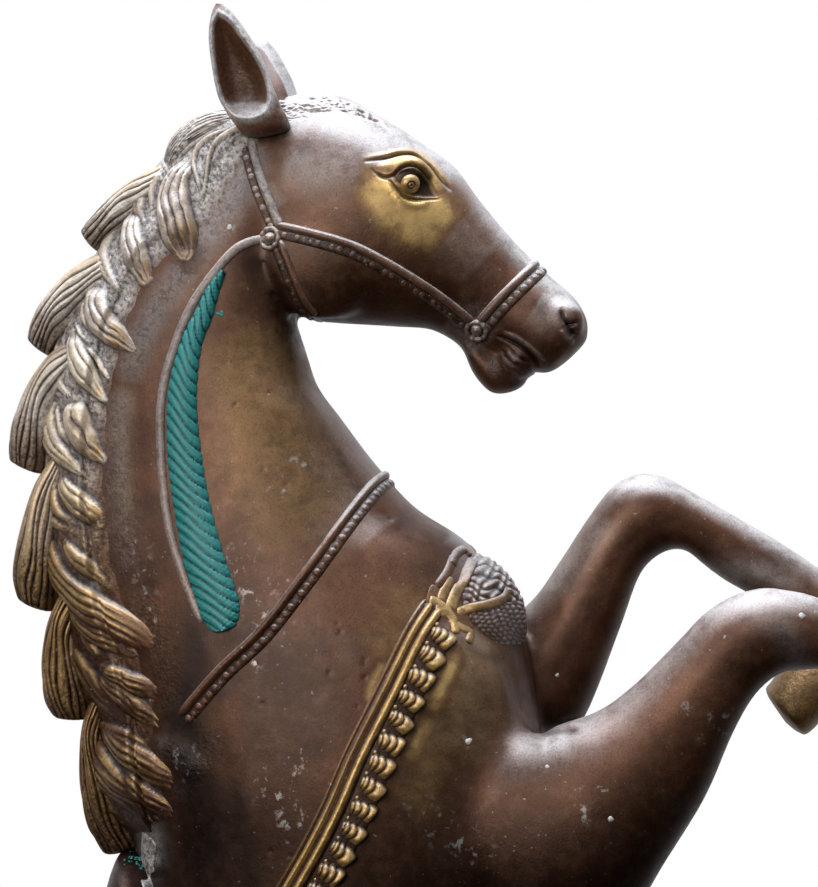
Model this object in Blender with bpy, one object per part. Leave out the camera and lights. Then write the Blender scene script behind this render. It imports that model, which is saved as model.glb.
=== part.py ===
"""Rearing horse, a hollow-cast brass statue about a metre tall, with the low plinth it stands on.

The horse faces +X and its right side, the one that is meant to be seen, faces -Y. Z is up and the origin is the
middle of the plinth's underside. Every form is laid out in millimetres and built in metres.
"""

import math

import bmesh
import bpy
from mathutils import Matrix, Vector
from mathutils.bvhtree import BVHTree

MM = 0.001

# The plinth, and the gap that keeps the casting a separate solid.
PLINTH_LENGTH = 320.0
PLINTH_WIDTH = 176.0
PLINTH_HEIGHT = 25.0
PLINTH_CORNER = 34.0
PLINTH_STEP = 6.0
# The plinth's edge, from the floor up: rows of (share of the height, share of the step that the edge is set back).
PLINTH_PROFILE = [(0.0, 0.0), (0.45, 0.0), (0.55, 0.7), (0.85, 1.0), (1.0, 1.5)]
REST_GAP = 0.3

# How fine the casting is: the grain the clay was worked at, then the number of faces kept.
FLESH_GRAIN = 3.0
CASTING_GRAIN = 1.9
CASTING_FACES = 9400
FLESH_SMOOTHING = 9
CASTING_SMOOTHING = 1
SMOOTHING_FACTOR = 0.5
RING_SIDES = 20
CORD_SIDES = 8
ROW_STEPS = 4
SHELL_ROW_STEPS = 12
CORNER_STEPS = 6
SOLE_TOLERANCE = 1e-6

# The sculptor's eye, level with the middle of the neck: trappings are laid out as seen from here.
SCULPTOR_EYE = Vector((0.215, -1.094, 0.740))

# Rows are (back x, z, front x, z, half width, taper towards the back).
NECK_AND_TRUNK = [
    (34, 906, 54, 818, 24, 0.0),
    (6, 906, 42, 804, 27, 0.10),
    (-20, 890, 45, 794, 29, 0.20),
    (-42, 862, 49, 782, 31, 0.26),
    (-62, 826, 54, 768, 34, 0.30),
    (-75, 785, 66, 752, 38, 0.30),
    (-79, 740, 82, 731, 41, 0.30),
    (-79, 697, 103, 708, 46, 0.28),
    (-73, 653, 132, 688, 53, 0.24),
    (-59, 607, 155, 652, 61, 0.18),
    (-44, 560, 165, 605, 68, 0.12),
    (-38, 520, 174, 548, 71, 0.08),
    (-46, 480, 173, 482, 72, 0.05),
    (-68, 436, 154, 415, 74, 0.0),
    (-92, 392, 120, 355, 75, 0.0),
    (-112, 352, 84, 305, 72, 0.0),
    (-131, 312, 52, 268, 67, 0.0),
    (-144, 272, 16, 236, 56, 0.0),
    (-138, 238, -24, 214, 40, 0.0),
    (-122, 218, -60, 208, 22, 0.0),
]

# Rows are (top x, z, underside x, z, half width, taper towards the top).
SKULL = [
    (16, 906, 40, 812, 25, 0.0),
    (40, 915, 52, 802, 31, 0.05),
    (64, 915, 66, 800, 34, 0.05),
    (87, 903, 82, 799, 34.5, 0.05),
    (107, 890, 97, 798, 32, 0.05),
    (123, 878, 110, 797, 28, 0.05),
    (135, 862, 119, 793, 24.5, 0.05),
    (148, 846, 128, 788, 21.5, 0.0),
    (160, 833, 136, 784, 20, -0.05),
    (172, 822, 148, 780, 20.5, -0.05),
    (183, 812, 160, 776, 20.5, 0.0),
    (189, 801, 170, 775, 18, 0.0),
    (189, 791, 179, 781, 9, 0.0),
]
LOWER_JAW = [
    (112, 812, 112, 797, 12, 0.0),
    (124, 803, 126, 788, 12.5, 0.0),
    (134, 794, 132, 775, 13, 0.0),
    (145, 786, 141, 765, 13.5, 0.0),
    (155, 778, 150, 765, 12, 0.0),
    (160, 773, 157, 768, 7, 0.0),
]

# Legs: rows are (front x, z, back x, z, distance from the middle plane, half width).
NEAR_FORELEG = [
    (108, 580, 138, 478, 22, 26),
    (142, 594, 172, 488, 36, 30),
    (172, 605, 208, 512, 40, 29),
    (194, 612, 227, 541, 40, 26),
    (212, 625, 246, 572, 38, 23),
    (231, 644, 259, 602, 36, 20.5),
    (249, 662, 270, 621, 35, 19),
    (269, 671, 282, 631, 35, 18.5),
    (288, 670, 291, 632, 35, 17),
    (302, 666, 302, 633, 35, 14.5),
    (322, 658, 318, 628, 35, 13.5),
    (340, 653, 331, 622, 35, 14),
    (357, 645, 341, 616, 35, 16),
    (366, 630, 341, 612, 35, 14),
    (362, 612, 337, 610, 35, 13),
    (356, 602, 331, 609, 35, 14.5),
]
NEAR_FORE_HOOF = [
    (358, 602, 328, 612, 35, 17),
    (348, 586, 322, 606, 35, 19),
    (336, 571, 316, 600, 35, 20.5),
]
FAR_FORELEG = [
    (100, 620, 128, 540, 22, 26),
    (130, 638, 160, 560, 35, 29),
    (158, 658, 186, 598, 37, 26),
    (174, 680, 204, 643, 37, 22),
    (189, 703, 215, 673, 36, 19.5),
    (203, 720, 226, 684, 35, 18.5),
    (222, 725, 237, 686, 35, 17.5),
    (246, 713, 246, 679, 35, 15),
    (267, 701, 258, 670, 35, 14),
    (286, 690, 276, 660, 35, 14),
    (307, 676, 293, 648, 35, 14),
    (326, 665, 307, 637, 35, 16),
    (333, 648, 308, 633, 35, 14),
    (329, 631, 303, 631, 35, 13),
    (323, 621, 296, 630, 35, 14.5),
]
FAR_FORE_HOOF = [
    (325, 621, 293, 633, 35, 17),
    (312, 607, 286, 626, 35, 19),
    (299, 593, 281, 619, 35, 20.5),
]
HIND_LEG = [
    (0, 378, -116, 346, 20, 20),
    (28, 338, -134, 304, 31, 32),
    (50, 296, -142, 258, 39, 36),
    (58, 258, -128, 222, 43, 35),
    (52, 228, -104, 198, 45, 30),
    (32, 202, -86, 180, 46, 25),
    (8, 180, -78, 164, 46, 20),
    (-14, 160, -80, 148, 46, 17),
    (-28, 140, -80, 130, 46, 16.5),
    (-29, 118, -68, 108, 46, 15),
    (-20, 98, -50, 86, 46, 12.5),
    (-5, 78, -33, 65, 46, 12),
    (9, 62, -18, 44, 46, 14),
    (20, 51, -5, 34, 46, 14),
    (30, 43, 0, 33, 46, 14.5),
]
HIND_HOOF = [
    (34, 45, -4, 40, 46, 18),
    (40, 34, -6, 32, 46, 20),
    (46, 23, -8, 23, 46, 22),
]
FAR_HIND_LEG_LEAD = 16.0
# The tail: rows of (centre x, z, half thickness); its strands lie around that line.
TAIL = [
    (-118, 280, 9),
    (-150, 272, 14),
    (-175, 236, 19),
    (-185, 178, 22),
    (-181, 116, 22),
    (-167, 66, 20),
    (-147, 23, 16),
]
TAIL_STRANDS = 6
TAIL_TWIST = 1.1
# A strand's distance from the tail's line, half width and half height, as shares of the tail's half thickness.
STRAND_REACH = 0.5
STRAND_WIDTH = 0.42
STRAND_HEIGHT = 0.5

# Muscles and bones that swell the surface: (x, y, z, radius x, radius y, radius z, tilt in degrees), both sides.
SWELLINGS = [
    (60, 17, 834, 35, 17, 33, 0),
    (99, 24, 869, 15, 9, 10, -35),
    (177, 13, 800, 11, 8, 11, 0),
    (108, 30, 612, 46, 30, 62, -20),
    (60, 34, 560, 52, 34, 78, 20),
    (-68, 46, 142, 15, 12, 13, 0),
]

# What is cut into the head: the nostrils, then the mouth.
HOLLOWS = [
    ((183, -17, 802), (4.5, 6.0, 7.0), 20),
    ((183, 17, 802), (4.5, 6.0, 7.0), 20),
    ((164, -19, 785), (13.0, 12.0, 2.6), 33),
    ((164, 19, 785), (13.0, 12.0, 2.6), 33),
]

# Half an ear: rows of (x, z, half width, depth of the back, depth of the hollow), from the root to the tip.
EAR = [
    (37, 884, 10.5, 8.5, -8.0),
    (30, 897, 11.5, 9.0, -7.0),
    (24, 906, 13.0, 9.5, 3.5),
    (20, 917, 13.8, 10.0, 5.5),
    (15, 931, 12.0, 9.0, 5.0),
    (11, 944, 8.2, 7.0, 2.5),
    (7, 955, 2.6, 2.5, -2.0),
]
# How far an ear's root stands off the middle plane, and how far its tip leans out and the far one's leans forward.
EAR_SPREAD = 26.0
EAR_LEAN_OUT = 9.0
FAR_EAR_LEAN_FORWARD = 8.0

# Locks of the mane that break the outline of the crest: root, belly and tip, then half width.
CREST_LOCKS = [
    ((-8, 896), (-16, 892), (-22, 876), 10),
    ((-33, 868), (-49, 864), (-66, 840), 10),
    ((-58, 826), (-80, 817), (-90, 784), 11),
    ((-78, 780), (-95, 754), (-97, 724), 11.5),
    ((-81, 720), (-95, 688), (-92, 654), 12),
    ((-73, 654), (-81, 628), (-75, 598), 12.5),
    ((-56, 600), (-59, 570), (-46, 536), 14),
]
# Locks that curl down over each side of the neck, laid out in the same way.
SIDE_LOCKS = [
    ((-6, 902), (-20, 871), (-11, 836), 9),
    ((-39, 861), (-42, 844), (-38, 822), 8),
    ((-46, 855), (-57, 838), (-45, 814), 6),
    ((-64, 826), (-62, 806), (-44, 789), 9),
    ((-68, 823), (-75, 809), (-63, 792), 5),
    ((-73, 800), (-70, 779), (-52, 761), 9),
    ((-76, 804), (-82, 784), (-69, 762), 5),
    ((-75, 762), (-73, 741), (-52, 730), 9),
    ((-82, 762), (-86, 744), (-65, 722), 6),
    ((-74, 724), (-74, 704), (-55, 694), 10),
    ((-84, 722), (-85, 705), (-66, 690), 5),
    ((-74, 692), (-64, 676), (-42, 661), 7),
    ((-80, 692), (-72, 664), (-30, 639), 10),
    ((-68, 640), (-52, 613), (-22, 604), 12),
    ((-60, 602), (-44, 571), (-14, 554), 14),
    ((-58, 576), (-49, 554), (-22, 546), 9),
]
# How a lock's width goes from root (0) to tip (1), as a share of its half width.
LOCK_THICKNESS = 9.0
SIDE_LOCK_SWELL = [(0.0, 0.7), (0.2, 0.95), (0.45, 1.1), (0.7, 1.0), (0.88, 0.8), (1.0, 0.5)]
CREST_LOCK_SWELL = [(0.0, 0.8), (0.25, 0.95), (0.5, 1.05), (0.75, 1.0), (0.92, 0.9), (1.0, 0.78)]
CREST_HALF_WIDTH = 15.0

# The trappings: guide points are (x, z) as seen from the sculptor's eye.
HEADSTALL = [(10, 912), (17, 897), (21, 881), (25, 868), (30, 856), (33, 849)]
CHEEK_STRAP = [(33, 848), (50, 844), (70, 838), (86, 830), (101, 822), (116, 813), (129, 802)]
THROAT_LATCH = [(33, 842), (40, 824), (46, 811), (52, 804)]
NOSEBAND = [(125, 783), (134, 799), (145, 815), (155, 827), (162, 836)]
REIN = [
    (28, 843),
    (18, 841),
    (8, 834),
    (-9, 812),
    (-20, 787),
    (-26, 762),
    (-26, 730),
    (-22, 697),
    (-14, 671),
    (-5, 649),
]
# A third number is the tassel's own half width there.
TASSEL = [
    (5, 826, 2),
    (-3, 810, 5),
    (-10, 787, 5.5),
    (-13, 762, 7.5),
    (-12, 728, 8.5),
    (-6, 700, 10),
    (1, 668, 10.5),
    (6, 647, 6),
]
NECK_BAND = [(93, 724), (84, 719), (70, 702), (48, 672), (26, 644), (5, 624), (-15, 601)]
BREAST_BAND = [
    (136, 694),
    (122, 676),
    (113, 659),
    (95, 623),
    (79, 589),
    (63, 554),
    (43, 520),
    (20, 485),
    (-4, 450),
    (-24, 424),
]
GIRTH = [(-14, 440), (20, 428), (60, 408), (100, 394), (132, 388), (150, 388)]
# Half width and half height of each strap.
BRIDLE_STRAP = (3.4, 2.6)
REIN_STRAP = (2.4, 3.0)
TASSEL_STRAP = (0.0, 4.5)
NECK_STRAP = (4.5, 3.2)
BREAST_STRAP = (6.5, 3.2)
GIRTH_STRAP = (8.0, 3.0)
SHELL_ROW = [(123, 654), (108, 627), (98, 602), (88, 577), (80, 556), (68, 537), (52, 512), (32, 484), (10, 455)]
SHELL_COUNT = 20
SHELL_RADII = (6.5, 5.2, 3.9)
SHELL_TILT = -25.0
SHELL_RISE = 1.0
# A plate on the breast: its centre, its radii and its tilt.
BREAST_PLATE = ((136, 0, 657), (20, 38, 29), -28.0)
ROSETTES = [(30, 843, 5.5), (133.5, 796.5, 5.0)]

# The brass: its colour as linear red, green, blue and opacity, and the angle over which its edges look sharp.
BRASS_COLOUR = (0.13, 0.075, 0.045, 1.0)
BRASS_METALLIC = 0.85
BRASS_ROUGHNESS = 0.42
SHARP_EDGE = 35.0

# The saddle, a form laid over the back: rows as for the neck and trunk.
SADDLE = [
    (-41, 536, 20, 541, 60, 0.0),
    (-50, 522, 40, 524, 73, 0.0),
    (-53, 500, 50, 498, 76, 0.0),
    (-57, 478, 40, 476, 77.5, 0.0),
    (-74, 447, 20, 430, 79, 0.0),
    (-98, 420, 0, 395, 79, 0.0),
    (-114, 403, -20, 372, 74, 0.0),
    (-111, 390, -30, 362, 60, 0.0),
]


def catmull_rom(rows, steps):
    """Rows of numbers read off the smooth curve through the given rows, with this many steps from one to the next."""
    ends = [rows[0], *rows, rows[-1]]
    smooth = []
    for before, start, stop, after in zip(ends, ends[1:], ends[2:], ends[3:]):
        for step in range(steps):
            t = step / steps
            row = []
            for p, q, r, s in zip(before, start, stop, after):
                bow = (2 * p - 5 * q + 4 * r - s) * t**2
                twist = (3 * q - p - 3 * r + s) * t**3
                row.append((2 * q + (r - p) * t + bow + twist) / 2)
            smooth.append(row)
    return smooth + [list(rows[-1])]


def ring(top, bottom, side, half_width, taper):
    """An egg-shaped ring between two points of the horse's middle plane, shifted to the side and given a width."""
    middle = Vector(((top[0] + bottom[0]) / 2, side, (top[1] + bottom[1]) / 2))
    up = Vector(((top[0] - bottom[0]) / 2, 0, (top[1] - bottom[1]) / 2))
    points = []
    for k in range(RING_SIDES):
        angle = math.tau * k / RING_SIDES
        width = half_width * (1 - taper * math.cos(angle))
        points.append((middle + up * math.cos(angle) + Vector((0, width * math.sin(angle), 0))) * MM)
    return points


def skin(shape, rings):
    """Closes a row of rings of equal length into a body with flat ends."""
    loops = [[shape.verts.new(point) for point in points] for points in rings]
    for near, far in zip(loops, loops[1:]):
        for k in range(len(near)):
            shape.faces.new((near[k - 1], near[k], far[k], far[k - 1]))
    shape.faces.new(loops[0])
    shape.faces.new(reversed(loops[-1]))


def add_body(shape, rows):
    """A form on the middle plane, through rows of (top x, z, bottom x, z, half width, taper towards the top)."""
    skin(shape, [ring(row[0:2], row[2:4], 0.0, row[4], row[5]) for row in catmull_rom(rows, ROW_STEPS)])


def add_limb(shape, rows, side, lead=0.0):
    """A leg or hoof through rows of (front x, z, back x, z, spread, half width), moved forward by its lead."""
    rings = []
    for front_x, front_z, back_x, back_z, spread, half_width in catmull_rom(rows, ROW_STEPS):
        rings.append(ring((front_x + lead, front_z), (back_x + lead, back_z), side * spread, half_width, 0.0))
    skin(shape, rings)


def add_egg(shape, centre, radii, tilt=0.0):
    """An egg-shaped mass, turned in the plane of the horse by its tilt in degrees."""
    place = Matrix.Translation(Vector(centre) * MM) @ Matrix.Rotation(math.radians(tilt), 4, "Y")
    size = Matrix.Diagonal([radius * MM for radius in radii]).to_4x4()
    bmesh.ops.create_icosphere(shape, subdivisions=3, radius=1.0, matrix=place @ size)


def add_ear(shape, side, lean_forward=0.0):
    """A cupped ear: a leaf of rings whose inner half is hollowed, opening to its own side."""
    rings = []
    last = len(EAR) - 1
    for i, (x, z, half_width, back, hollow) in enumerate(EAR):
        before = EAR[max(i - 1, 0)]
        after = EAR[min(i + 1, last)]
        along = Vector((after[0] - before[0], 0, after[1] - before[1])).normalized()
        across_leaf = Vector((along.z, 0, -along.x))
        middle = Vector((x + lean_forward * i / last, side * (EAR_SPREAD + EAR_LEAN_OUT * i / last), z))
        outward = Vector((0, side, 0))
        points = []
        for k in range(RING_SIDES):
            angle = math.tau * k / RING_SIDES
            depth = back if math.cos(angle) > 0 else -hollow
            reach = across_leaf * half_width * math.sin(angle)
            points.append((middle + reach - outward * depth * math.cos(angle)) * MM)
        rings.append(points)
    skin(shape, rings)


def sweep(shape, stations):
    """A strap, cord or lock through stations of (point, normal, half width, half height), in metres."""
    rings = []
    for i, (point, normal, half_width, half_height) in enumerate(stations):
        before = stations[max(i - 1, 0)][0]
        after = stations[min(i + 1, len(stations) - 1)][0]
        across_strap = (after - before).cross(normal).normalized()
        points = []
        for k in range(CORD_SIDES):
            angle = math.tau * k / CORD_SIDES
            points.append(point + across_strap * half_width * math.cos(angle) + normal * half_height * math.sin(angle))
        rings.append(points)
    skin(shape, rings)


def laid_on(flesh, x, z):
    """Where the sculptor sees the flesh over this point of the middle plane, or else its edge, and how it faces."""
    aim = Vector((x, 0, z)) * MM
    place, normal, _, _ = flesh.ray_cast(SCULPTOR_EYE, (aim - SCULPTOR_EYE).normalized())
    if place is None:
        place, normal, _, _ = flesh.find_nearest(aim)
    return place, normal


def mirrored(vector, side):
    """The vector as it is on the near side, or reflected to the far one."""
    return Vector((vector.x, -side * vector.y, vector.z))


def bend(root, belly, tip, t):
    """A point, from 0 at the root to 1 at the tip, of the arc that the belly pulls out."""
    return [a * (1 - t) ** 2 + b * 2 * t * (1 - t) + c * t**2 for a, b, c in zip(root, belly, tip)]


def add_strap(shape, flesh, guides, half_width, height, side):
    """A strap laid along guide points on one side of the flesh; a third number in a guide is its own half width."""
    stations = []
    for guide in catmull_rom(guides, ROW_STEPS):
        place, normal = laid_on(flesh, guide[0], guide[1])
        width = guide[2] if len(guide) > 2 else half_width
        stations.append((mirrored(place, side), mirrored(normal, side), width * MM, height * MM))
    sweep(shape, stations)


def add_side_lock(shape, flesh, root, belly, tip, half_width, side):
    """A lock of the mane that curls down over one side of the neck, from its root over its belly to its tip."""
    stations = []
    for t, swell in SIDE_LOCK_SWELL:
        place, normal = laid_on(flesh, *bend(root, belly, tip, t))
        width = half_width * swell * MM
        stations.append((mirrored(place, side), mirrored(normal, side), width, LOCK_THICKNESS * swell * MM))
    sweep(shape, stations)


def add_crest_lock(shape, root, belly, tip, half_width):
    """A lock that stands out behind the crest, on the middle plane, and ends blunt."""
    stations = []
    for t, swell in CREST_LOCK_SWELL:
        x, z = bend(root, belly, tip, t)
        stations.append(
            (Vector((x, 0, z)) * MM, Vector((0, -1, 0)), half_width * swell * MM, CREST_HALF_WIDTH * swell * MM)
        )
    sweep(shape, stations)


def add_tail(shape):
    """The tail: strands that wind slowly round a line from the dock down to the plinth."""
    line = catmull_rom(TAIL, ROW_STEPS)
    for strand in range(TAIL_STRANDS):
        stations = []
        for i, (x, z, reach) in enumerate(line):
            before = line[max(i - 1, 0)]
            after = line[min(i + 1, len(line) - 1)]
            across_tail = Vector((after[1] - before[1], 0, before[0] - after[0])).normalized()
            angle = math.tau * strand / TAIL_STRANDS + TAIL_TWIST * i / len(line)
            outward = across_tail * math.cos(angle) + Vector((0, math.sin(angle), 0))
            place = Vector((x, 0, z)) + outward * reach * STRAND_REACH
            stations.append((place * MM, outward, reach * STRAND_WIDTH * MM, reach * STRAND_HEIGHT * MM))
        sweep(shape, stations)


def add_shells(shape, flesh, side):
    """The row of cockle shells that hangs behind the breast band."""
    row = catmull_rom(SHELL_ROW, SHELL_ROW_STEPS)
    for i in range(SHELL_COUNT):
        x, z = row[round(i * (len(row) - 1) / (SHELL_COUNT - 1))]
        place, normal = laid_on(flesh, x, z)
        centre = mirrored(place + normal * SHELL_RISE * MM, side) / MM
        add_egg(shape, centre, SHELL_RADII, SHELL_TILT)


def add_trappings(shape, flesh):
    """Bridle, rein, plaited tassel, neck band, breast band with its shells, and the rosettes, on both sides."""
    for side in (-1, 1):
        for guides in (HEADSTALL, CHEEK_STRAP, THROAT_LATCH, NOSEBAND):
            add_strap(shape, flesh, guides, *BRIDLE_STRAP, side)
        add_strap(shape, flesh, REIN, *REIN_STRAP, side)
        add_strap(shape, flesh, TASSEL, *TASSEL_STRAP, side)
        add_strap(shape, flesh, NECK_BAND, *NECK_STRAP, side)
        add_strap(shape, flesh, BREAST_BAND, *BREAST_STRAP, side)
        add_strap(shape, flesh, GIRTH, *GIRTH_STRAP, side)
        add_shells(shape, flesh, side)
        for x, z, radius in ROSETTES:
            place, _ = laid_on(flesh, x, z)
            add_egg(shape, mirrored(place, side) / MM, (radius, radius, radius))


def mesh_object(name, shape):
    """A new object in the scene that takes over the finished bmesh, with its faces pointing out."""
    bmesh.ops.recalc_face_normals(shape, faces=shape.faces)
    mesh = bpy.data.meshes.new(name)
    shape.to_mesh(mesh)
    shape.free()
    thing = bpy.data.objects.new(name, mesh)
    bpy.context.scene.collection.objects.link(thing)
    return thing


def apply_modifiers(thing):
    """Replaces the object's mesh by the one its modifiers make."""
    evaluated = thing.evaluated_get(bpy.context.evaluated_depsgraph_get())
    finished = bpy.data.meshes.new_from_object(evaluated)
    thing.modifiers.clear()
    thing.data = finished


def fuse(thing, grain, smoothing):
    """Fuses overlapping forms into one skin of the given grain and softens where they meet."""
    remesh = thing.modifiers.new("fuse", "REMESH")
    remesh.mode = "VOXEL"
    remesh.voxel_size = grain * MM
    smooth = thing.modifiers.new("soften", "SMOOTH")
    smooth.factor = SMOOTHING_FACTOR
    smooth.iterations = smoothing
    apply_modifiers(thing)


def model_flesh():
    """The bare horse: neck and trunk, head, legs, hooves, tail and muscles."""
    shape = bmesh.new()
    add_body(shape, NECK_AND_TRUNK)
    add_body(shape, SKULL)
    add_body(shape, LOWER_JAW)
    add_limb(shape, NEAR_FORELEG, -1)
    add_limb(shape, FAR_FORELEG, 1)
    for side, lead in ((-1, 0.0), (1, FAR_HIND_LEG_LEAD)):
        add_limb(shape, HIND_LEG, side, lead)
    for x, y, z, radius_x, radius_y, radius_z, tilt in SWELLINGS:
        for side in (-1, 1):
            add_egg(shape, (x, side * y, z), (radius_x, radius_y, radius_z), tilt)
    return mesh_object("flesh", shape)


def carve(horse):
    """Cuts the nostrils and the line of the mouth into the head."""
    cuts = bmesh.new()
    for centre, radii, tilt in HOLLOWS:
        add_egg(cuts, centre, radii, tilt)
    cutter = mesh_object("hollows", cuts)
    difference = horse.modifiers.new("hollows", "BOOLEAN")
    difference.operation = "DIFFERENCE"
    difference.object = cutter
    apply_modifiers(horse)
    bpy.data.objects.remove(cutter)


def model_horse():
    """The whole casting: the flesh with its mane, tail, hooves, saddle and trappings fused to it."""
    horse = model_flesh()
    fuse(horse, FLESH_GRAIN, FLESH_SMOOTHING)
    flesh = BVHTree.FromObject(horse, bpy.context.evaluated_depsgraph_get())
    carve(horse)
    shape = bmesh.new()
    shape.from_mesh(horse.data)
    bpy.data.objects.remove(horse)
    add_body(shape, SADDLE)
    add_tail(shape)
    add_limb(shape, NEAR_FORE_HOOF, -1)
    add_limb(shape, FAR_FORE_HOOF, 1)
    add_limb(shape, HIND_HOOF, -1)
    add_limb(shape, HIND_HOOF, 1, FAR_HIND_LEG_LEAD)
    add_ear(shape, -1)
    add_ear(shape, 1, FAR_EAR_LEAN_FORWARD)
    for lock in SIDE_LOCKS:
        for side in (-1, 1):
            add_side_lock(shape, flesh, *lock, side)
    for lock in CREST_LOCKS:
        add_crest_lock(shape, *lock)
    add_egg(shape, *BREAST_PLATE)
    add_trappings(shape, flesh)
    casting = mesh_object("rearing_horse", shape)
    fuse(casting, CASTING_GRAIN, CASTING_SMOOTHING)
    thin = casting.modifiers.new("fewer_faces", "DECIMATE")
    thin.ratio = CASTING_FACES / (2 * len(casting.data.polygons))
    apply_modifiers(casting)
    level_soles(casting)
    return casting


def level_soles(casting):
    """Cuts the hind hooves and the tail off level, just clear of the plinth."""
    cut = bmesh.new()
    cut.from_mesh(casting.data)
    floor = (PLINTH_HEIGHT + REST_GAP) * MM
    everything = cut.verts[:] + cut.edges[:] + cut.faces[:]
    bmesh.ops.bisect_plane(
        cut, geom=everything, dist=SOLE_TOLERANCE, plane_co=(0, 0, floor), plane_no=(0, 0, -1), clear_outer=True
    )
    bmesh.ops.holes_fill(cut, edges=[edge for edge in cut.edges if edge.is_boundary])
    bmesh.ops.triangulate(cut, faces=cut.faces)
    cut.to_mesh(casting.data)
    cut.free()


def model_plinth():
    """A low plinth with rounded corners and one moulded step."""
    shape = bmesh.new()
    reach_x = PLINTH_LENGTH / 2 - PLINTH_CORNER
    reach_y = PLINTH_WIDTH / 2 - PLINTH_CORNER
    rings = []
    for height_share, step_share in PLINTH_PROFILE:
        height = PLINTH_HEIGHT * height_share
        corner = PLINTH_CORNER - PLINTH_STEP * step_share
        points = []
        for quarter in range(4):
            middle_x = reach_x * (1 if quarter in (0, 3) else -1)
            middle_y = reach_y * (1 if quarter in (0, 1) else -1)
            for step in range(CORNER_STEPS + 1):
                angle = math.tau / 4 * (quarter + step / CORNER_STEPS)
                edge = Vector((corner * math.cos(angle), corner * math.sin(angle), height))
                points.append((Vector((middle_x, middle_y, 0)) + edge) * MM)
        rings.append(points)
    skin(shape, rings)
    return mesh_object("base", shape)


def patinated_brass(thing):
    """Brown patinated brass, smooth but for its sharper edges."""
    brass = bpy.data.materials.new("patinated_brass")
    brass.use_nodes = True
    shader = brass.node_tree.nodes["Principled BSDF"]
    shader.inputs["Base Color"].default_value = BRASS_COLOUR
    shader.inputs["Metallic"].default_value = BRASS_METALLIC
    shader.inputs["Roughness"].default_value = BRASS_ROUGHNESS
    thing.data.materials.clear()
    thing.data.materials.append(brass)
    thing.data.shade_smooth()
    thing.data.set_sharp_from_angle(angle=math.radians(SHARP_EDGE))


def main():
    """Empties the scene, then models the horse and its plinth."""
    for thing in list(bpy.data.objects):
        bpy.data.objects.remove(thing)
    for thing in (model_horse(), model_plinth()):
        patinated_brass(thing)


main()
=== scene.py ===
"""Rearing horse: a hollow-cast brass statue in its bridle and breast band, on a low plinth.

The horse faces +X, its right side faces -Y and is the one meant to be seen, and Z is up. Forms are laid out
in millimetres in the same frame as the solids, and built in metres.
"""

import logging
import math
from dataclasses import dataclass, field
from enum import Enum
from typing import Callable, ClassVar, Sequence

import bmesh
import bpy
import numpy as np
from mathutils import Matrix, Vector
from mathutils.bvhtree import BVHTree


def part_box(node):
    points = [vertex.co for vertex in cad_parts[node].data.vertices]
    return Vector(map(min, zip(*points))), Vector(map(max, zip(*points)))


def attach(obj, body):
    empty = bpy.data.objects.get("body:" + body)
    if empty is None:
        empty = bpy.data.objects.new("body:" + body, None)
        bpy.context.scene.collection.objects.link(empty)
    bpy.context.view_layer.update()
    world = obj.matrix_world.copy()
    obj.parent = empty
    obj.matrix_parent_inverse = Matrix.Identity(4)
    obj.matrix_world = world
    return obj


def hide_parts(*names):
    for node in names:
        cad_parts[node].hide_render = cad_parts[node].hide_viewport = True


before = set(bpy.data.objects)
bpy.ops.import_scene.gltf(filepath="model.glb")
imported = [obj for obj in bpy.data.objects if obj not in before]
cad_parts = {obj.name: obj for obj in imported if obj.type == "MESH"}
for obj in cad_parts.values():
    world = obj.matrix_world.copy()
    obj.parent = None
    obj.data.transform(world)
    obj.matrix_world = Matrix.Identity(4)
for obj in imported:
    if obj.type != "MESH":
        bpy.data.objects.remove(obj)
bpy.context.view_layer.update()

MM = 0.001
log = logging.getLogger("rearing_horse")

Array = np.ndarray
Rows = Sequence[Sequence[float]]
Marks = dict[str, Array]
Relief = Callable[[Array, Array], tuple[Array, Marks]]
Piece = bpy.types.Object
Material = bpy.types.Material
Socket = bpy.types.NodeSocket

RING_SIDES = 40
ROW_STEPS = 6
OPENING_DEPTH = 1.6
OPENING_SHADE = 0.9

# Where the sculptor stood: trappings, hair and carving are laid out as seen from here, on the middle plane.
SCULPTOR_EYE = Vector((0.215, -1.094, 0.740))

# Rows are (back x, z, front x, z, half width, taper towards the back).
NECK_AND_TRUNK = [
    (34, 906, 54, 818, 24, 0.0), (6, 906, 42, 804, 27, 0.10), (-20, 890, 45, 794, 29, 0.20),
    (-42, 862, 49, 782, 31, 0.26), (-62, 826, 54, 768, 34, 0.30), (-75, 785, 66, 752, 38, 0.30),
    (-79, 740, 82, 731, 41, 0.30), (-79, 697, 103, 708, 46, 0.28), (-73, 653, 132, 688, 53, 0.24),
    (-59, 607, 155, 652, 61, 0.18), (-44, 560, 165, 605, 68, 0.12), (-38, 520, 174, 548, 71, 0.08),
    (-46, 480, 173, 482, 72, 0.05), (-68, 436, 154, 415, 74, 0.0), (-92, 392, 120, 355, 75, 0.0),
    (-112, 352, 84, 305, 72, 0.0), (-131, 312, 52, 268, 67, 0.0), (-144, 272, 16, 236, 56, 0.0),
    (-138, 238, -24, 214, 40, 0.0), (-122, 218, -60, 208, 22, 0.0),
]
NECK_ROWS = 8

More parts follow.
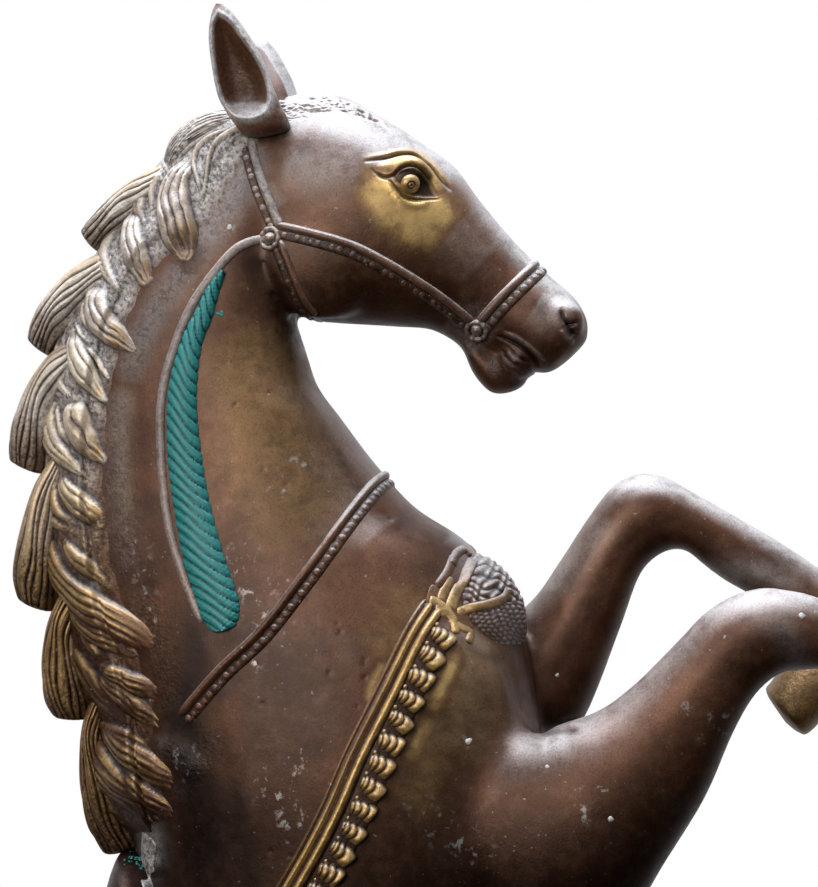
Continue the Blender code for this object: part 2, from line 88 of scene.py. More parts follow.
# Rows are (top x, z, underside x, z, half width, taper towards the top).
SKULL = [
    (16, 906, 40, 812, 25, 0.0), (40, 915, 52, 802, 31, 0.05), (64, 915, 66, 800, 34, 0.05),
    (87, 903, 82, 799, 34.5, 0.05), (107, 890, 97, 798, 32, 0.05), (123, 878, 110, 797, 28, 0.05),
    (135, 862, 119, 793, 24.5, 0.05), (148, 846, 128, 788, 21.5, 0.0), (160, 833, 136, 784, 20, -0.05),
    (172, 822, 148, 780, 20.5, -0.05), (183, 812, 160, 776, 20.5, 0.0), (189, 801, 170, 775, 18, 0.0),
    (189, 791, 179, 781, 9, 0.0),
]
LOWER_JAW = [
    (112, 812, 112, 797, 12, 0.0), (124, 803, 126, 788, 12.5, 0.0), (134, 794, 132, 775, 13, 0.0),
    (145, 786, 141, 765, 13.5, 0.0), (155, 778, 150, 765, 12, 0.0), (160, 773, 157, 768, 7, 0.0),
]

# Legs: rows are (front x, z, back x, z, distance from the middle plane, half width).
NEAR_FORELEG = [
    (108, 580, 138, 478, 22, 26), (142, 594, 172, 488, 36, 30), (172, 605, 208, 512, 40, 29),
    (194, 612, 227, 541, 40, 26), (212, 625, 246, 572, 38, 23), (231, 644, 259, 602, 36, 20.5),
    (249, 662, 270, 621, 35, 19), (269, 671, 282, 631, 35, 18.5), (288, 670, 291, 632, 35, 17),
    (302, 666, 302, 633, 35, 14.5), (322, 658, 318, 628, 35, 13.5), (340, 653, 331, 622, 35, 14),
    (357, 645, 341, 616, 35, 16), (365.4, 630, 341, 612, 35, 14), (361.6, 612, 337, 610, 35, 13),
    (355.6, 602, 331, 609, 35, 14.5),
]
NEAR_FORE_HOOF = [
    (358, 602, 328, 612, 35, 17), (348, 586, 322, 606, 35, 19), (336, 571, 316, 600, 35, 20.5),
    (331, 571, 314.5, 596.5, 35, 18), (325, 576, 315, 592, 35, 11),
]
FAR_FORELEG = [
    (100, 620, 128, 540, 22, 26), (130, 638, 160, 560, 35, 29), (158, 658, 186, 598, 37, 26),
    (174, 680, 204, 643, 37, 22), (189, 703, 215, 673, 36, 19.5), (203, 720, 226, 684, 35, 18.5),
    (222, 725, 237, 686, 35, 17.5), (246, 713, 246, 679, 35, 15), (267, 701, 258, 670, 35, 14),
    (286, 690, 276, 660, 35, 14), (307, 676, 293, 648, 35, 14), (326, 665, 307, 637, 35, 16),
    (333, 648, 308, 633, 35, 14), (329, 631, 303, 631, 35, 13), (323, 621, 296, 630, 35, 14.5),
]
FAR_FORE_HOOF = [
    (325, 621, 293, 633, 35, 17), (312, 607, 286, 626, 35, 19), (300, 594, 281, 619, 35, 20.5),
    (294.5, 594, 278.5, 615.5, 35, 18), (288.5, 598.5, 279.5, 611.5, 35, 11),
]
HIND_LEG = [
    (0, 378, -116, 346, 20, 20), (28, 338, -134, 304, 31, 32), (50, 296, -142, 258, 39, 36),
    (58, 258, -128, 222, 43, 35), (52, 228, -104, 198, 45, 30), (32, 202, -86, 180, 46, 25),
    (8, 180, -78, 164, 46, 20), (-14, 160, -80, 148, 46, 17), (-28, 140, -80, 130, 46, 16.5),
    (-29, 118, -68, 108, 46, 15), (-20, 98, -50, 86, 46, 12.5), (-5, 78, -33, 65, 46, 12),
    (9, 62, -18, 44, 46, 14), (20, 51, -5, 34, 46, 14), (30, 43, 0, 33, 46, 14.5),
]
HIND_HOOF = [(34, 45, -4, 40, 46, 18), (40, 34, -6, 32, 46, 20), (46, 23, -8, 23, 46, 22)]
FAR_HIND_LEG_LEAD = 16.0
# The tail: rows of (centre x, z, half thickness).
TAIL = [
    (-118, 280, 9), (-150, 272, 14), (-175, 236, 19), (-185, 178, 22), (-181, 116, 22), (-167, 66, 20),
    (-147, 23, 16),
]

# Muscles and bones that swell both sides: (x, y, z, radius x, radius y, radius z, tilt in degrees).
SWELLINGS = [
    (60, 17, 834, 35, 17, 33, 0), (99, 24, 869, 15, 9, 10, -35), (177, 13, 800, 11, 8, 11, 0),
    (154, 8, 780, 9, 12, 8, -20), (108, 30, 612, 46, 30, 62, -20), (60, 34, 560, 52, 34, 78, 20),
    (112, 31, 545, 50, 33, 56, 0), (-68, 46, 142, 15, 12, 13, 0),
]
HEAD_SWELLINGS = 4

# Tufts behind the crest: rows of (outer edge x, z, inner edge x, z, half thickness), root to tip.
TUFTS = [
    [
        (13, 909.5, 20.5, 891.5, 12), (-2, 907.5, 8, 886.5, 16), (-13.5, 901, -2, 881.5, 17),
        (-20.5, 893, -10.5, 875.5, 16), (-24, 883, -16.5, 871.5, 13),
    ],
    [
        (-24.5, 880, -18.5, 861.5, 15), (-35.5, 874.5, -29.5, 859, 16), (-48.5, 866.5, -39.5, 852.5, 15),
        (-60.5, 854.5, -50.5, 842.5, 14), (-66.5, 847, -59, 837, 12),
    ],
    [
        (-48.5, 840, -41, 821.5, 15), (-61.5, 833.5, -53.5, 816.5, 16), (-74.5, 825, -64.5, 808.5, 15),
        (-85.5, 813, -73.5, 799, 15), (-91.5, 801.5, -79.5, 790, 14), (-94, 792.5, -83.5, 784, 12),
    ],
    [
        (-73.5, 791.5, -63.5, 775.5, 15), (-83.5, 783.5, -71.5, 768.5, 16), (-93.5, 770.5, -78.5, 759, 15),
        (-100, 755.5, -82.5, 746.5, 15), (-103, 741.5, -85.5, 734, 14), (-103.5, 731, -88, 724, 12),
    ],
    [
        (-80.5, 734, -70.5, 721.5, 15), (-88.5, 721.5, -75.5, 711.5, 16), (-95, 705.5, -77.5, 699, 16),
        (-99.5, 687.5, -79, 683.5, 15), (-101.5, 672.5, -80.5, 667.5, 14), (-98.5, 660, -82, 654, 12),
    ],
    [
        (-75.5, 665.5, -64.5, 655.5, 16), (-81.5, 653, -66.5, 644, 17), (-85, 638, -65, 631.5, 16),
        (-86, 621.5, -64, 617.5, 15), (-84.5, 609, -63.5, 605.5, 14), (-79.5, 601, -64.5, 600, 12),
    ],
    [
        (-58.5, 615.5, -47.5, 602.5, 17), (-64.5, 598.5, -50.5, 589, 19), (-66, 579, -44.5, 574, 19),
        (-65, 561.5, -39.5, 560, 18), (-61.5, 545.5, -34.5, 549, 16), (-53, 531.5, -30, 538.5, 13),
    ],
]
# Locks on each side of the neck, the lowest layer first: how many strands each has, and its guides of
# (x, z, half width) from root to tip.
LOCKS = [
    (1, [(17, 899.5, 1.5), (9.5, 896, 1.5), (2.5, 891, 1), (-1, 883.5, 1), (-2.5, 873.5, 1), (-4.5, 865, 1)]),
    (1, [(6.5, 897.5, 1), (-2, 893, 1), (-7, 888, 1), (-8.5, 881, 1), (-7, 873, 1), (-5, 866.5, 0.5)]),
    (4, [
        (-11.5, 881.5, 3), (-16.5, 872.5, 6), (-18.5, 862.5, 8), (-17.5, 852.5, 9), (-15.5, 843.5, 9),
        (-14, 836.5, 5.5),
    ]),
    (2, [(-29, 877.5, 1.5), (-33.5, 870.5, 2), (-36, 861.5, 2.5), (-36.5, 856.5, 2.5), (-34, 851, 1)]),
    (1, [(-25.5, 876.5, 1), (-29.5, 868.5, 1.5), (-30.5, 858.5, 1)]),
    (3, [(-38.5, 855.5, 3), (-40, 847, 5), (-39, 838, 6.5), (-36.5, 830, 6), (-34, 823, 4)]),
    (2, [(-46.5, 854.5, 2), (-53, 846, 4), (-55.5, 836.5, 4), (-53, 826.5, 3), (-46.5, 816, 1)]),
    (1, [(-68, 821, 1), (-70, 813, 2), (-71.5, 806, 1)]),
    (1, [(-64.5, 811.5, 1), (-64.5, 802.5, 1.5), (-60.5, 796, 1)]),
    (3, [(-57.5, 818.5, 4.5), (-58, 809, 6), (-55, 800.5, 7), (-48.5, 794, 6), (-41, 788, 2.5)]),
    (1, [(-63.5, 788.5, 1), (-59, 783.5, 1.5), (-56, 778.5, 1.5), (-53, 773, 1)]),
    (1, [(-68.5, 800, 1), (-66, 794.5, 1), (-62.5, 791.5, 1)]),
    (3, [(-70, 795, 3), (-68, 786, 5), (-65, 777.5, 6), (-60.5, 770, 5), (-55, 762, 1.5)]),
    (2, [
        (-75.5, 802, 1.5), (-79.5, 795.5, 3), (-81.5, 786, 3), (-80, 776.5, 3), (-77, 769, 2), (-70, 762, 1),
    ]),
    (1, [(-78.5, 758, 1), (-77.5, 751.5, 1), (-75.5, 744.5, 1.5), (-70, 738, 1)]),
    (2, [(-69.5, 761, 4), (-68.5, 754, 6.5), (-66, 745.5, 7), (-62, 738, 6), (-55.5, 731.5, 2)]),
    (3, [(-82, 760, 2.5), (-83, 750, 4), (-80.5, 740, 4.5), (-74, 731.5, 4), (-64.5, 723, 1)]),
    (2, [(-84, 722.5, 1.5), (-86.5, 714.5, 2), (-84.5, 705, 2), (-78.5, 698.5, 2), (-71, 696, 1)]),
    (1, [(-79.5, 721.5, 1.5), (-80.5, 713.5, 2), (-77.5, 704.5, 2), (-70, 700, 1)]),
    (3, [(-76.5, 722.5, 2), (-72.5, 715.5, 4.5), (-66, 708.5, 6), (-60.5, 703, 5.5), (-58, 698.5, 2.5)]),
    (2, [(-74.5, 690, 1.5), (-69.5, 683, 3.5), (-62, 676, 4), (-52.5, 667, 1)]),
    (4, [
        (-84, 696, 2), (-82, 683, 4), (-76, 671, 5), (-64.5, 660, 7), (-50.5, 650.5, 8),
        (-37, 642.5, 6.5), (-26.5, 636.5, 2),
    ]),
    (3, [(-71.5, 656.5, 2), (-62.5, 646.5, 4), (-51, 639, 4.5), (-40.5, 634.5, 2.5)]),
    (1, [(-66, 645.5, 1.5), (-60.5, 636.5, 2), (-55.5, 629, 1)]),
    (2, [(-71.5, 636.5, 2.5), (-62.5, 622.5, 4), (-53, 609.5, 4.5), (-43.5, 599.5, 2)]),
    (3, [(-54.5, 626.5, 2.5), (-45, 621.5, 4.5), (-35, 616.5, 5), (-25, 612.5, 1.5)]),
    (3, [(-56.5, 622.5, 2), (-47.5, 614.5, 4), (-37.5, 605.5, 4.5), (-25.5, 596.5, 1.5)]),
    (2, [(-54.5, 598, 1.5), (-45.5, 593, 3.5), (-37.5, 588.5, 3), (-29.5, 585.5, 1)]),
    (4, [(-54.5, 596.5, 2.5), (-45.5, 587.5, 5.5), (-34.5, 578.5, 7), (-23.5, 570.5, 5), (-12.5, 564, 1.5)]),
    (1, [(-61.5, 591.5, 1.5), (-62, 579, 2), (-61, 567.5, 2), (-57.5, 556.5, 1)]),
    (3, [(-43.5, 573.5, 2.5), (-35.5, 564, 4.5), (-26.5, 556.5, 4.5), (-17.5, 550, 1.5)]),
    (4, [(-61.5, 594, 3), (-56.5, 579, 6), (-48, 567.5, 7), (-36.5, 557.5, 5.5), (-24.5, 547, 1.5)]),
    (2, [(-59.5, 562.5, 2), (-52.5, 554.5, 3.5), (-43.5, 548.5, 1.5)]),
]
# The hair under the locks: rows of (outer edge x, z, edge on the neck x, z), poll to withers.
MANE_ROOTS = [
    (15.5, 910.5, 26.5, 894), (-4.5, 907, 18, 881.5), (-15.5, 900, 9.5, 866.5), (-23.5, 886.5, -2, 849),
    (-32, 874, -15.5, 839), (-48.5, 854, -29.5, 826.5), (-58.5, 836.5, -38.5, 811.5),
    (-72, 811.5, -45.5, 791.5), (-82.5, 785.5, -50.5, 769), (-85.5, 756.5, -53.5, 746.5),
    (-87.5, 725, -54.5, 724), (-85.5, 691.5, -53, 699), (-81.5, 655.5, -47, 669),
    (-73.5, 627.5, -37, 636.5), (-64, 600.5, -29.5, 604), (-59.5, 566.5, -24.5, 566.5),
    (-48.5, 540.5, -22, 544),
]

# The trappings: guide points are (x, z) as seen from the sculptor's eye.
HEADSTALL = [(10, 912), (17, 897), (21, 881), (25, 868), (30, 856), (33, 849)]
CHEEK_STRAP = [(33, 848), (50, 844), (70, 838), (86, 830), (101, 821), (116, 811), (132, 798)]
THROAT_LATCH = [(33, 842), (40, 824), (46, 811), (52, 804)]
NOSEBAND = [(136, 798), (146, 809.5), (156, 819.5), (166, 829)]
REIN = [
    (28, 843),
    (18, 841),
    (8, 834),
    (-9, 812),
    (-20, 787),
    (-26, 762),
    (-26, 730),
    (-22, 697),
    (-14, 671),
    (-5, 649),
]
BRAID = [
    (6.2, 827, 1.5), (0.9, 818, 3.4), (-4.2, 805, 4.8), (-10.2, 791.5, 5.6), (-14.5, 772, 7.2),
    (-15.4, 752, 8.3), (-13.8, 731, 9.2), (-10.9, 711.5, 9.6), (-5.2, 685, 10.6), (0.1, 669, 10.7),
    (4.3, 655, 10.6), (6.8, 645.5, 6),
]
NECK_BAND = [(93, 724), (84, 719), (70, 702), (48, 672), (26, 644), (5, 624), (-15, 601)]
BREAST_BAND = [
    (115.5, 657.5), (105.6, 642), (91.2, 612.8), (75.7, 581.8), (62.6, 551.8), (46.7, 521.8), (23.5, 484),
    (-0.5, 448), (-20, 422),
]
GIRTH = [(-14, 440), (20, 428), (60, 408), (100, 394), (132, 388), (150, 388)]
SHELL_ROW = [
    (119, 647.5), (106, 622.5), (90.4, 589.3), (76.8, 556), (66, 534), (52, 510), (31, 482), (9, 453)
]

# The saddle, a form laid over the back: rows as for the neck and trunk.
SADDLE = [
    (-41, 535, -30, 537.5, 14, 0.0), (-46, 533.5, -25, 534.5, 28, 0.0), (-48.5, 527, -21, 527, 42, 0.0),
    (-50.5, 519, -16, 519, 52, 0.0), (-53, 512, -6, 512, 57, 0.0), (-54, 499, 22, 497, 69, 0.0),
    (-57, 482, 42, 479, 76, 0.0), (-74, 447, 24, 434, 79, 0.0), (-98, 420, 0, 395, 79, 0.0),
    (-114, 403, -20, 372, 74, 0.0), (-111, 390, -30, 362, 60, 0.0),
]


class Side(Enum):
    """The two sides of the horse, by the sign of Y."""

    NEAR = -1
    FAR = 1


class Slot(Enum):
    """The record's material slots."""

    HORSE = "patinated_brass"
    PLINTH = "plinth_brass"


def catmull_rom(rows: Rows, steps: int) -> Array:
    """Rows read off the smooth curve through the given rows.

    Args:
        rows: rows of numbers, all of one length.
        steps: how many steps lie between one given row and the next.

    Returns:
        An array with one smoothed row a line.
    """
    rows = np.array(rows, float)
    ends = np.vstack([rows[:1], rows, rows[-1:]])
    smooth = []
    for p, q, r, s in zip(ends, ends[1:], ends[2:], ends[3:]):
        for step in range(steps):
            t = step / steps
            bend = 2 * p - 5 * q + 4 * r - s
            smooth.append(0.5 * (2 * q + (r - p) * t + bend * t**2 + (3 * q - p - 3 * r + s) * t**3))
    smooth.append(rows[-1])
    return np.array(smooth)


def smoothstep(low: float, high: float, value: Array) -> Array:
    """How far each value is from low to high, eased at both ends, from 0 to 1."""
    t = np.clip((value - low) / (high - low), 0, 1)
    return t * t * (3 - 2 * t)


def as_seen(points: Array) -> Array:
    """Where the sculptor's eye sees points on the middle plane; points of the far side are mirrored first.

    Args:
        points: an array of places in metres.

    Returns:
        An array of (x, z) in millimetres.
    """
    eye = np.array(SCULPTOR_EYE)
    near = points.copy()
    near[:, 1] = -np.abs(near[:, 1])
    reach = eye[1] / (eye[1] - near[:, 1])
    seen = eye + (near - eye) * reach[:, None]
    return seen[:, [0, 2]] / MM


def away_from(line: Array, spots: Array) -> tuple[Array, Array, Array]:
    """How far spots lie from a line of points.

    Args:
        line: an array of (x, z) along the line.
        spots: an array of (x, z).

    Returns:
        The distance, the share of the line passed where it is nearest, and the side that the spot lies on.
    """
    best = np.full(len(spots), 1e9)
    along = np.zeros(len(spots))
    turn = np.zeros(len(spots))
    last = len(line) - 1
    for i, (start, stop) in enumerate(zip(line, line[1:])):
        run = stop - start
        size = max(float(run @ run), 1e-9)
        t = np.clip(((spots - start) @ run) / size, 0, 1)
        gap = spots - start - t[:, None] * run
        distance = np.hypot(gap[:, 0], gap[:, 1])
        closer = distance < best
        best[closer] = distance[closer]
        along[closer] = (i + t[closer]) / last
        turn[closer] = np.sign(run[0] * gap[closer, 1] - run[1] * gap[closer, 0])
    return best, along, turn


@dataclass
class Form:
    """A form in the making: places in metres, faces, and how rubbed, hollow and dusty each place is; the
    hollow mark also carries painted shade and the dust mark painted sheen.
    """

    MARKS: ClassVar[tuple[str, ...]] = ("rub", "hollow", "dust", "crust", "fleck")
    places: list[Array] = field(default_factory=list)
    faces: list[tuple[int, ...]] = field(default_factory=list)
    marks: dict[str, list[Array]] = field(default_factory=lambda: {name: [] for name in Form.MARKS})
    count: int = 0

    def add(self, places: Array, faces: Sequence[tuple[int, ...]], **marks: Array | float) -> None:
        """Adds a patch of places and faces.

        Args:
            places: an array of places in metres.
            faces: faces as rows of indices into places.
            marks: any of MARKS, each one number or one for every place.
        """
        self.places.append(places)
        self.faces.extend(tuple(corner + self.count for corner in face) for face in faces)
        for name, store in self.marks.items():
            store.append(np.broadcast_to(np.asarray(marks.get(name, 0.0), float), (len(places),)))
        self.count += len(places)

    def add_rings(self, rings: Array, **marks: Array | float) -> None:
        """Closes a row of rings into a body with a pole at each end.

        Args:
            rings: an array of rings by places around by 3.
            marks: one number each, or one for every place of every ring.
        """
        count, around, _ = rings.shape
        faces = []
        for i in range(count - 1):
            for k in range(around):
                before = (k - 1) % around
                faces.append(
                    (i * around + before, i * around + k, (i + 1) * around + k, (i + 1) * around + before)
                )
        poles = (count * around, count * around + 1)
        for k in range(around):
            before = (k - 1) % around
            faces.append((poles[0], k, before))
            faces.append((poles[1], (count - 1) * around + before, (count - 1) * around + k))
        places = np.vstack([rings.reshape(-1, 3), rings[0].mean(0), rings[-1].mean(0)])
        whole = {}
        for name, value in marks.items():
            value = np.broadcast_to(np.asarray(value, float), (count, around))
            whole[name] = np.concatenate([value.ravel(), [value[0].mean(), value[-1].mean()]])
        self.add(places, faces, **whole)

    def mirror(self) -> "Form":
        """The same form on the other side of the middle plane."""
        other = Form()
        turned = [tuple(reversed(face)) for face in self.faces]
        places = np.vstack(self.places) * np.array([1, -1, 1])
        other.add(places, turned, **{name: np.concatenate(store) for name, store in self.marks.items()})
        return other

    def both_sides(self) -> "Form":
        """The form together with its mirror image."""
        other = self.mirror()
        self.add(other.places[0], other.faces, **{name: store[0] for name, store in other.marks.items()})
        return self

    def make(self, name: str) -> Piece:
        """A mesh object of the form, with its faces pointing out and its marks as attributes."""
        mesh = bpy.data.meshes.new(name)
        mesh.from_pydata(np.vstack(self.places).tolist(), [], self.faces)
        for mark, store in self.marks.items():
            write_mark(mesh, mark, np.concatenate(store))
        thing = bpy.data.objects.new(name, mesh)
        bpy.context.scene.collection.objects.link(thing)
        take_up(thing)
        bpy.ops.object.mode_set(mode="EDIT")
        bpy.ops.mesh.select_all(action="SELECT")
        bpy.ops.mesh.normals_make_consistent(inside=False)
        bpy.ops.object.mode_set(mode="OBJECT")
        bpy.ops.object.shade_smooth_by_angle(angle=math.radians(60))
        return thing


def read_places(thing: Piece) -> Array:
    """The places of a piece's vertices, in metres."""
    places = np.zeros(len(thing.data.vertices) * 3)
    thing.data.vertices.foreach_get("co", places)
    return places.reshape(-1, 3)


def write_places(thing: Piece, places: Array) -> None:
    """Moves the vertices of a piece to new places."""
    thing.data.vertices.foreach_set("co", places.ravel())
    thing.data.update()


def write_mark(mesh: bpy.types.Mesh, name: str, values: Array) -> None:
    """Keeps one value for each vertex of a mesh, for the finish to read."""
    attribute = mesh.attributes.new(name, "FLOAT", "POINT")
    attribute.data.foreach_set("value", values.astype(np.float32))


def lengths_along(places: Array) -> Array:
    """How far along a path each of its places lies, in millimetres."""
    return np.concatenate([[0], np.cumsum(np.linalg.norm(np.diff(places, axis=0), axis=1))]) / MM


def sight(x: float, z: float) -> tuple[Vector, Vector]:
    """A point (x, z) of the middle plane in metres, and the way the sculptor looks to see it."""
    aim = Vector((x, 0, z)) * MM
    return aim, (aim - SCULPTOR_EYE).normalized()


def take_up(thing: Piece) -> None:
    """Selects one object alone and makes it the active one."""
    if bpy.context.mode != "OBJECT":
        bpy.ops.object.mode_set(mode="OBJECT")
    bpy.ops.object.select_all(action="DESELECT")
    thing.select_set(True)
    bpy.context.view_layer.objects.active = thing


def make_finer(thing: Piece, choose: Callable[[list[Vector]], Sequence[bool]]) -> None:
    """Splits some of a piece's faces into four.

    Args:
        thing: the piece.
        choose: from the middles of all its faces in metres, which of them are split.
    """
    take_up(thing)
    bpy.ops.object.mode_set(mode="EDIT")
    bpy.ops.mesh.select_all(action="DESELECT")
    shape = bmesh.from_edit_mesh(thing.data)
    chosen = choose([face.calc_center_median() for face in shape.faces])
    for face, split in zip(shape.faces, chosen):
        face.select_set(bool(split))
    bmesh.update_edit_mesh(thing.data)
    bpy.ops.mesh.subdivide(number_cuts=1, smoothness=0)
    bpy.ops.object.mode_set(mode="OBJECT")


def cut_off(thing: Piece, place: Vector, way: Vector, keep_ahead: bool = True, above: float = -1.0) -> None:
    """Cuts a piece along a plane, closes it, and keeps one part.

    Args:
        thing: the piece.
        place: a point of the plane, in metres.
        way: which way the plane faces.
        keep_ahead: whether the part that the plane faces is kept.
        above: the height in metres under which the piece is left alone.
    """
    take_up(thing)
    bpy.ops.object.mode_set(mode="EDIT")
    bpy.ops.mesh.select_all(action="DESELECT")
    shape = bmesh.from_edit_mesh(thing.data)
    for face in shape.faces:
        face.select_set(face.calc_center_median().z > above)
    bmesh.update_edit_mesh(thing.data)
    ends = {"clear_inner": keep_ahead, "clear_outer": not keep_ahead}
    bpy.ops.mesh.bisect(plane_co=place, plane_no=way, use_fill=True, **ends)
    bpy.ops.object.mode_set(mode="OBJECT")


def finish_piece(
    thing: Piece, material: Material, node: str = "rearing_horse"
) -> None:
    """Gives a piece its finish and ties it to the solid that it stands for.

    Args:
        thing: the finished piece.
        material: its finish.
        node: the solid it replaces.
    """
    thing.data.materials.clear()
    thing.data.materials.append(material)
    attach(thing, "root")
    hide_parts(node)
    log.info("%s: %d faces", thing.name, len(thing.data.polygons))


def ring(
    top: Sequence[float], bottom: Sequence[float], side: float, half_width: float, taper: float, around: int
) -> Array:
    """An egg-shaped ring between two points of the middle plane, shifted to the side and given a width."""
    angle = np.linspace(0, math.tau, around, endpoint=False)
    middle = np.array([(top[0] + bottom[0]) / 2, side, (top[1] + bottom[1]) / 2])
    up = np.array([(top[0] - bottom[0]) / 2, 0, (top[1] - bottom[1]) / 2])
    width = half_width * (1 - taper * np.cos(angle))
    out = np.zeros((around, 3))
    out[:, 1] = width * np.sin(angle)
    return (middle + up * np.cos(angle)[:, None] + out) * MM


def add_body(form: Form, rows: Rows, **marks: float) -> None:
    """A form on the middle plane, through rows of (top x, z, low x, z, half width, taper to the top)."""
    rings = [
        ring(row[0:2], row[2:4], 0.0, row[4], row[5], RING_SIDES) for row in catmull_rom(rows, ROW_STEPS)
    ]
    form.add_rings(np.array(rings), **marks)


def add_limb(form: Form, rows: Rows, side: Side, lead: float = 0.0, **marks: float) -> None:
    """A leg or hoof through rows of (front x, z, back x, z, spread, half width), moved by its lead."""
    rings = []
    for front_x, front_z, back_x, back_z, spread, half_width in catmull_rom(rows, ROW_STEPS):
        front = (front_x + lead, front_z)
        back = (back_x + lead, back_z)
        rings.append(ring(front, back, side.value * spread, half_width, 0.0, RING_SIDES))
    form.add_rings(np.array(rings), **marks)


def add_egg(
    form: Form, centre: Sequence[float], radii: Sequence[float], tilt: float, fineness: int, **marks: float
) -> None:
    """An egg-shaped mass in millimetres, turned in the plane of the horse by its tilt in degrees."""
    rows = fineness
    around = fineness * 2
    polar = np.linspace(0, math.pi, rows + 1)[1:-1]
    angle = np.linspace(0, math.tau, around, endpoint=False)
    unit = np.zeros((rows - 1, around, 3))
    unit[:, :, 0] = np.sin(polar)[:, None] * np.cos(angle)
    unit[:, :, 1] = np.sin(polar)[:, None] * np.sin(angle)
    unit[:, :, 2] = np.cos(polar)[:, None]
    turn = np.array(Matrix.Rotation(math.radians(tilt), 3, "Y"))
    form.add_rings(((unit * np.array(radii)) @ turn.T + np.array(centre)) * MM, **marks)


@dataclass
class Stroke:
    """One stroke of the chisel or the punch along guide points seen by the sculptor, in millimetres; some
    strokes only paint shade and highlights.
    """

    guides: list[tuple[float, float]]
    width: float
    depth: float = 0.0
    hollow: float = 0.0
    rub: float = 0.0
    dust: float = 0.0
    crust: float = 0.0
    fleck: float = 0.0
    blunt: bool = False

    def cut(self, spots: Array) -> tuple[Array, Array]:
        """How deep the stroke goes at each spot, and how strongly it is felt there."""
        line = catmull_rom(self.guides, 6)
        low = line.min(0) - 4 * self.width
        high = line.max(0) + 4 * self.width
        close = np.all((spots > low) & (spots < high), axis=1)
        felt = np.zeros(len(spots))
        if close.any():
            distance, along, _ = away_from(line, spots[close])
            ends = 1.0 if self.blunt else np.minimum(1, 5 * np.minimum(along, 1 - along) + 0.15)
            felt[close] = np.exp(-((distance / self.width) ** 2)) * ends
        return felt * self.depth, felt


def chisel(thing: Piece, strokes: Sequence[Stroke], opening: Rows = ()) -> None:
    """Works strokes into a piece of flesh, and marks what they rub bright, hollow out and leave dusty, and
    where they paint shade and highlights.

    Args:
        thing: the piece.
        strokes: the strokes.
        opening: the outline of an opening that is sunk a little, where there is one.
    """
    places = read_places(thing)
    count = len(places)
    normals = np.zeros(count * 3)
    thing.data.vertex_normals.foreach_get("vector", normals)
    spots = as_seen(places)
    depth = np.zeros(count)
    marks = {name: np.zeros(count) for name in Form.MARKS}
    for stroke in strokes:
        cut, felt = stroke.cut(spots)
        depth += cut
        for name in marks:
            strength = getattr(stroke, name)
            marks[name] = np.where(felt * abs(strength) > np.abs(marks[name]), felt * strength, marks[name])
    if opening:
        opened = smoothstep(0.0, OPENING_DEPTH, within(opening, spots))
        depth += OPENING_DEPTH * opened
        marks["hollow"] = np.maximum(marks["hollow"], OPENING_SHADE * opened)
    places -= normals.reshape(-1, 3) * depth[:, None] * MM
    for name, values in marks.items():
        write_mark(thing.data, name, values)
    write_places(thing, places)


def neighbours(thing: Piece) -> tuple[Array, Array]:
    """The pairs of vertices that share an edge, both ways round, and how many neighbours each has."""
    ends = np.zeros(len(thing.data.edges) * 2, int)
    thing.data.edges.foreach_get("vertices", ends)
    ends = ends.reshape(-1, 2)
    ends = np.concatenate([ends, ends[:, ::-1]])
    return ends, np.maximum(np.bincount(ends[:, 0], minlength=len(thing.data.vertices)), 1)


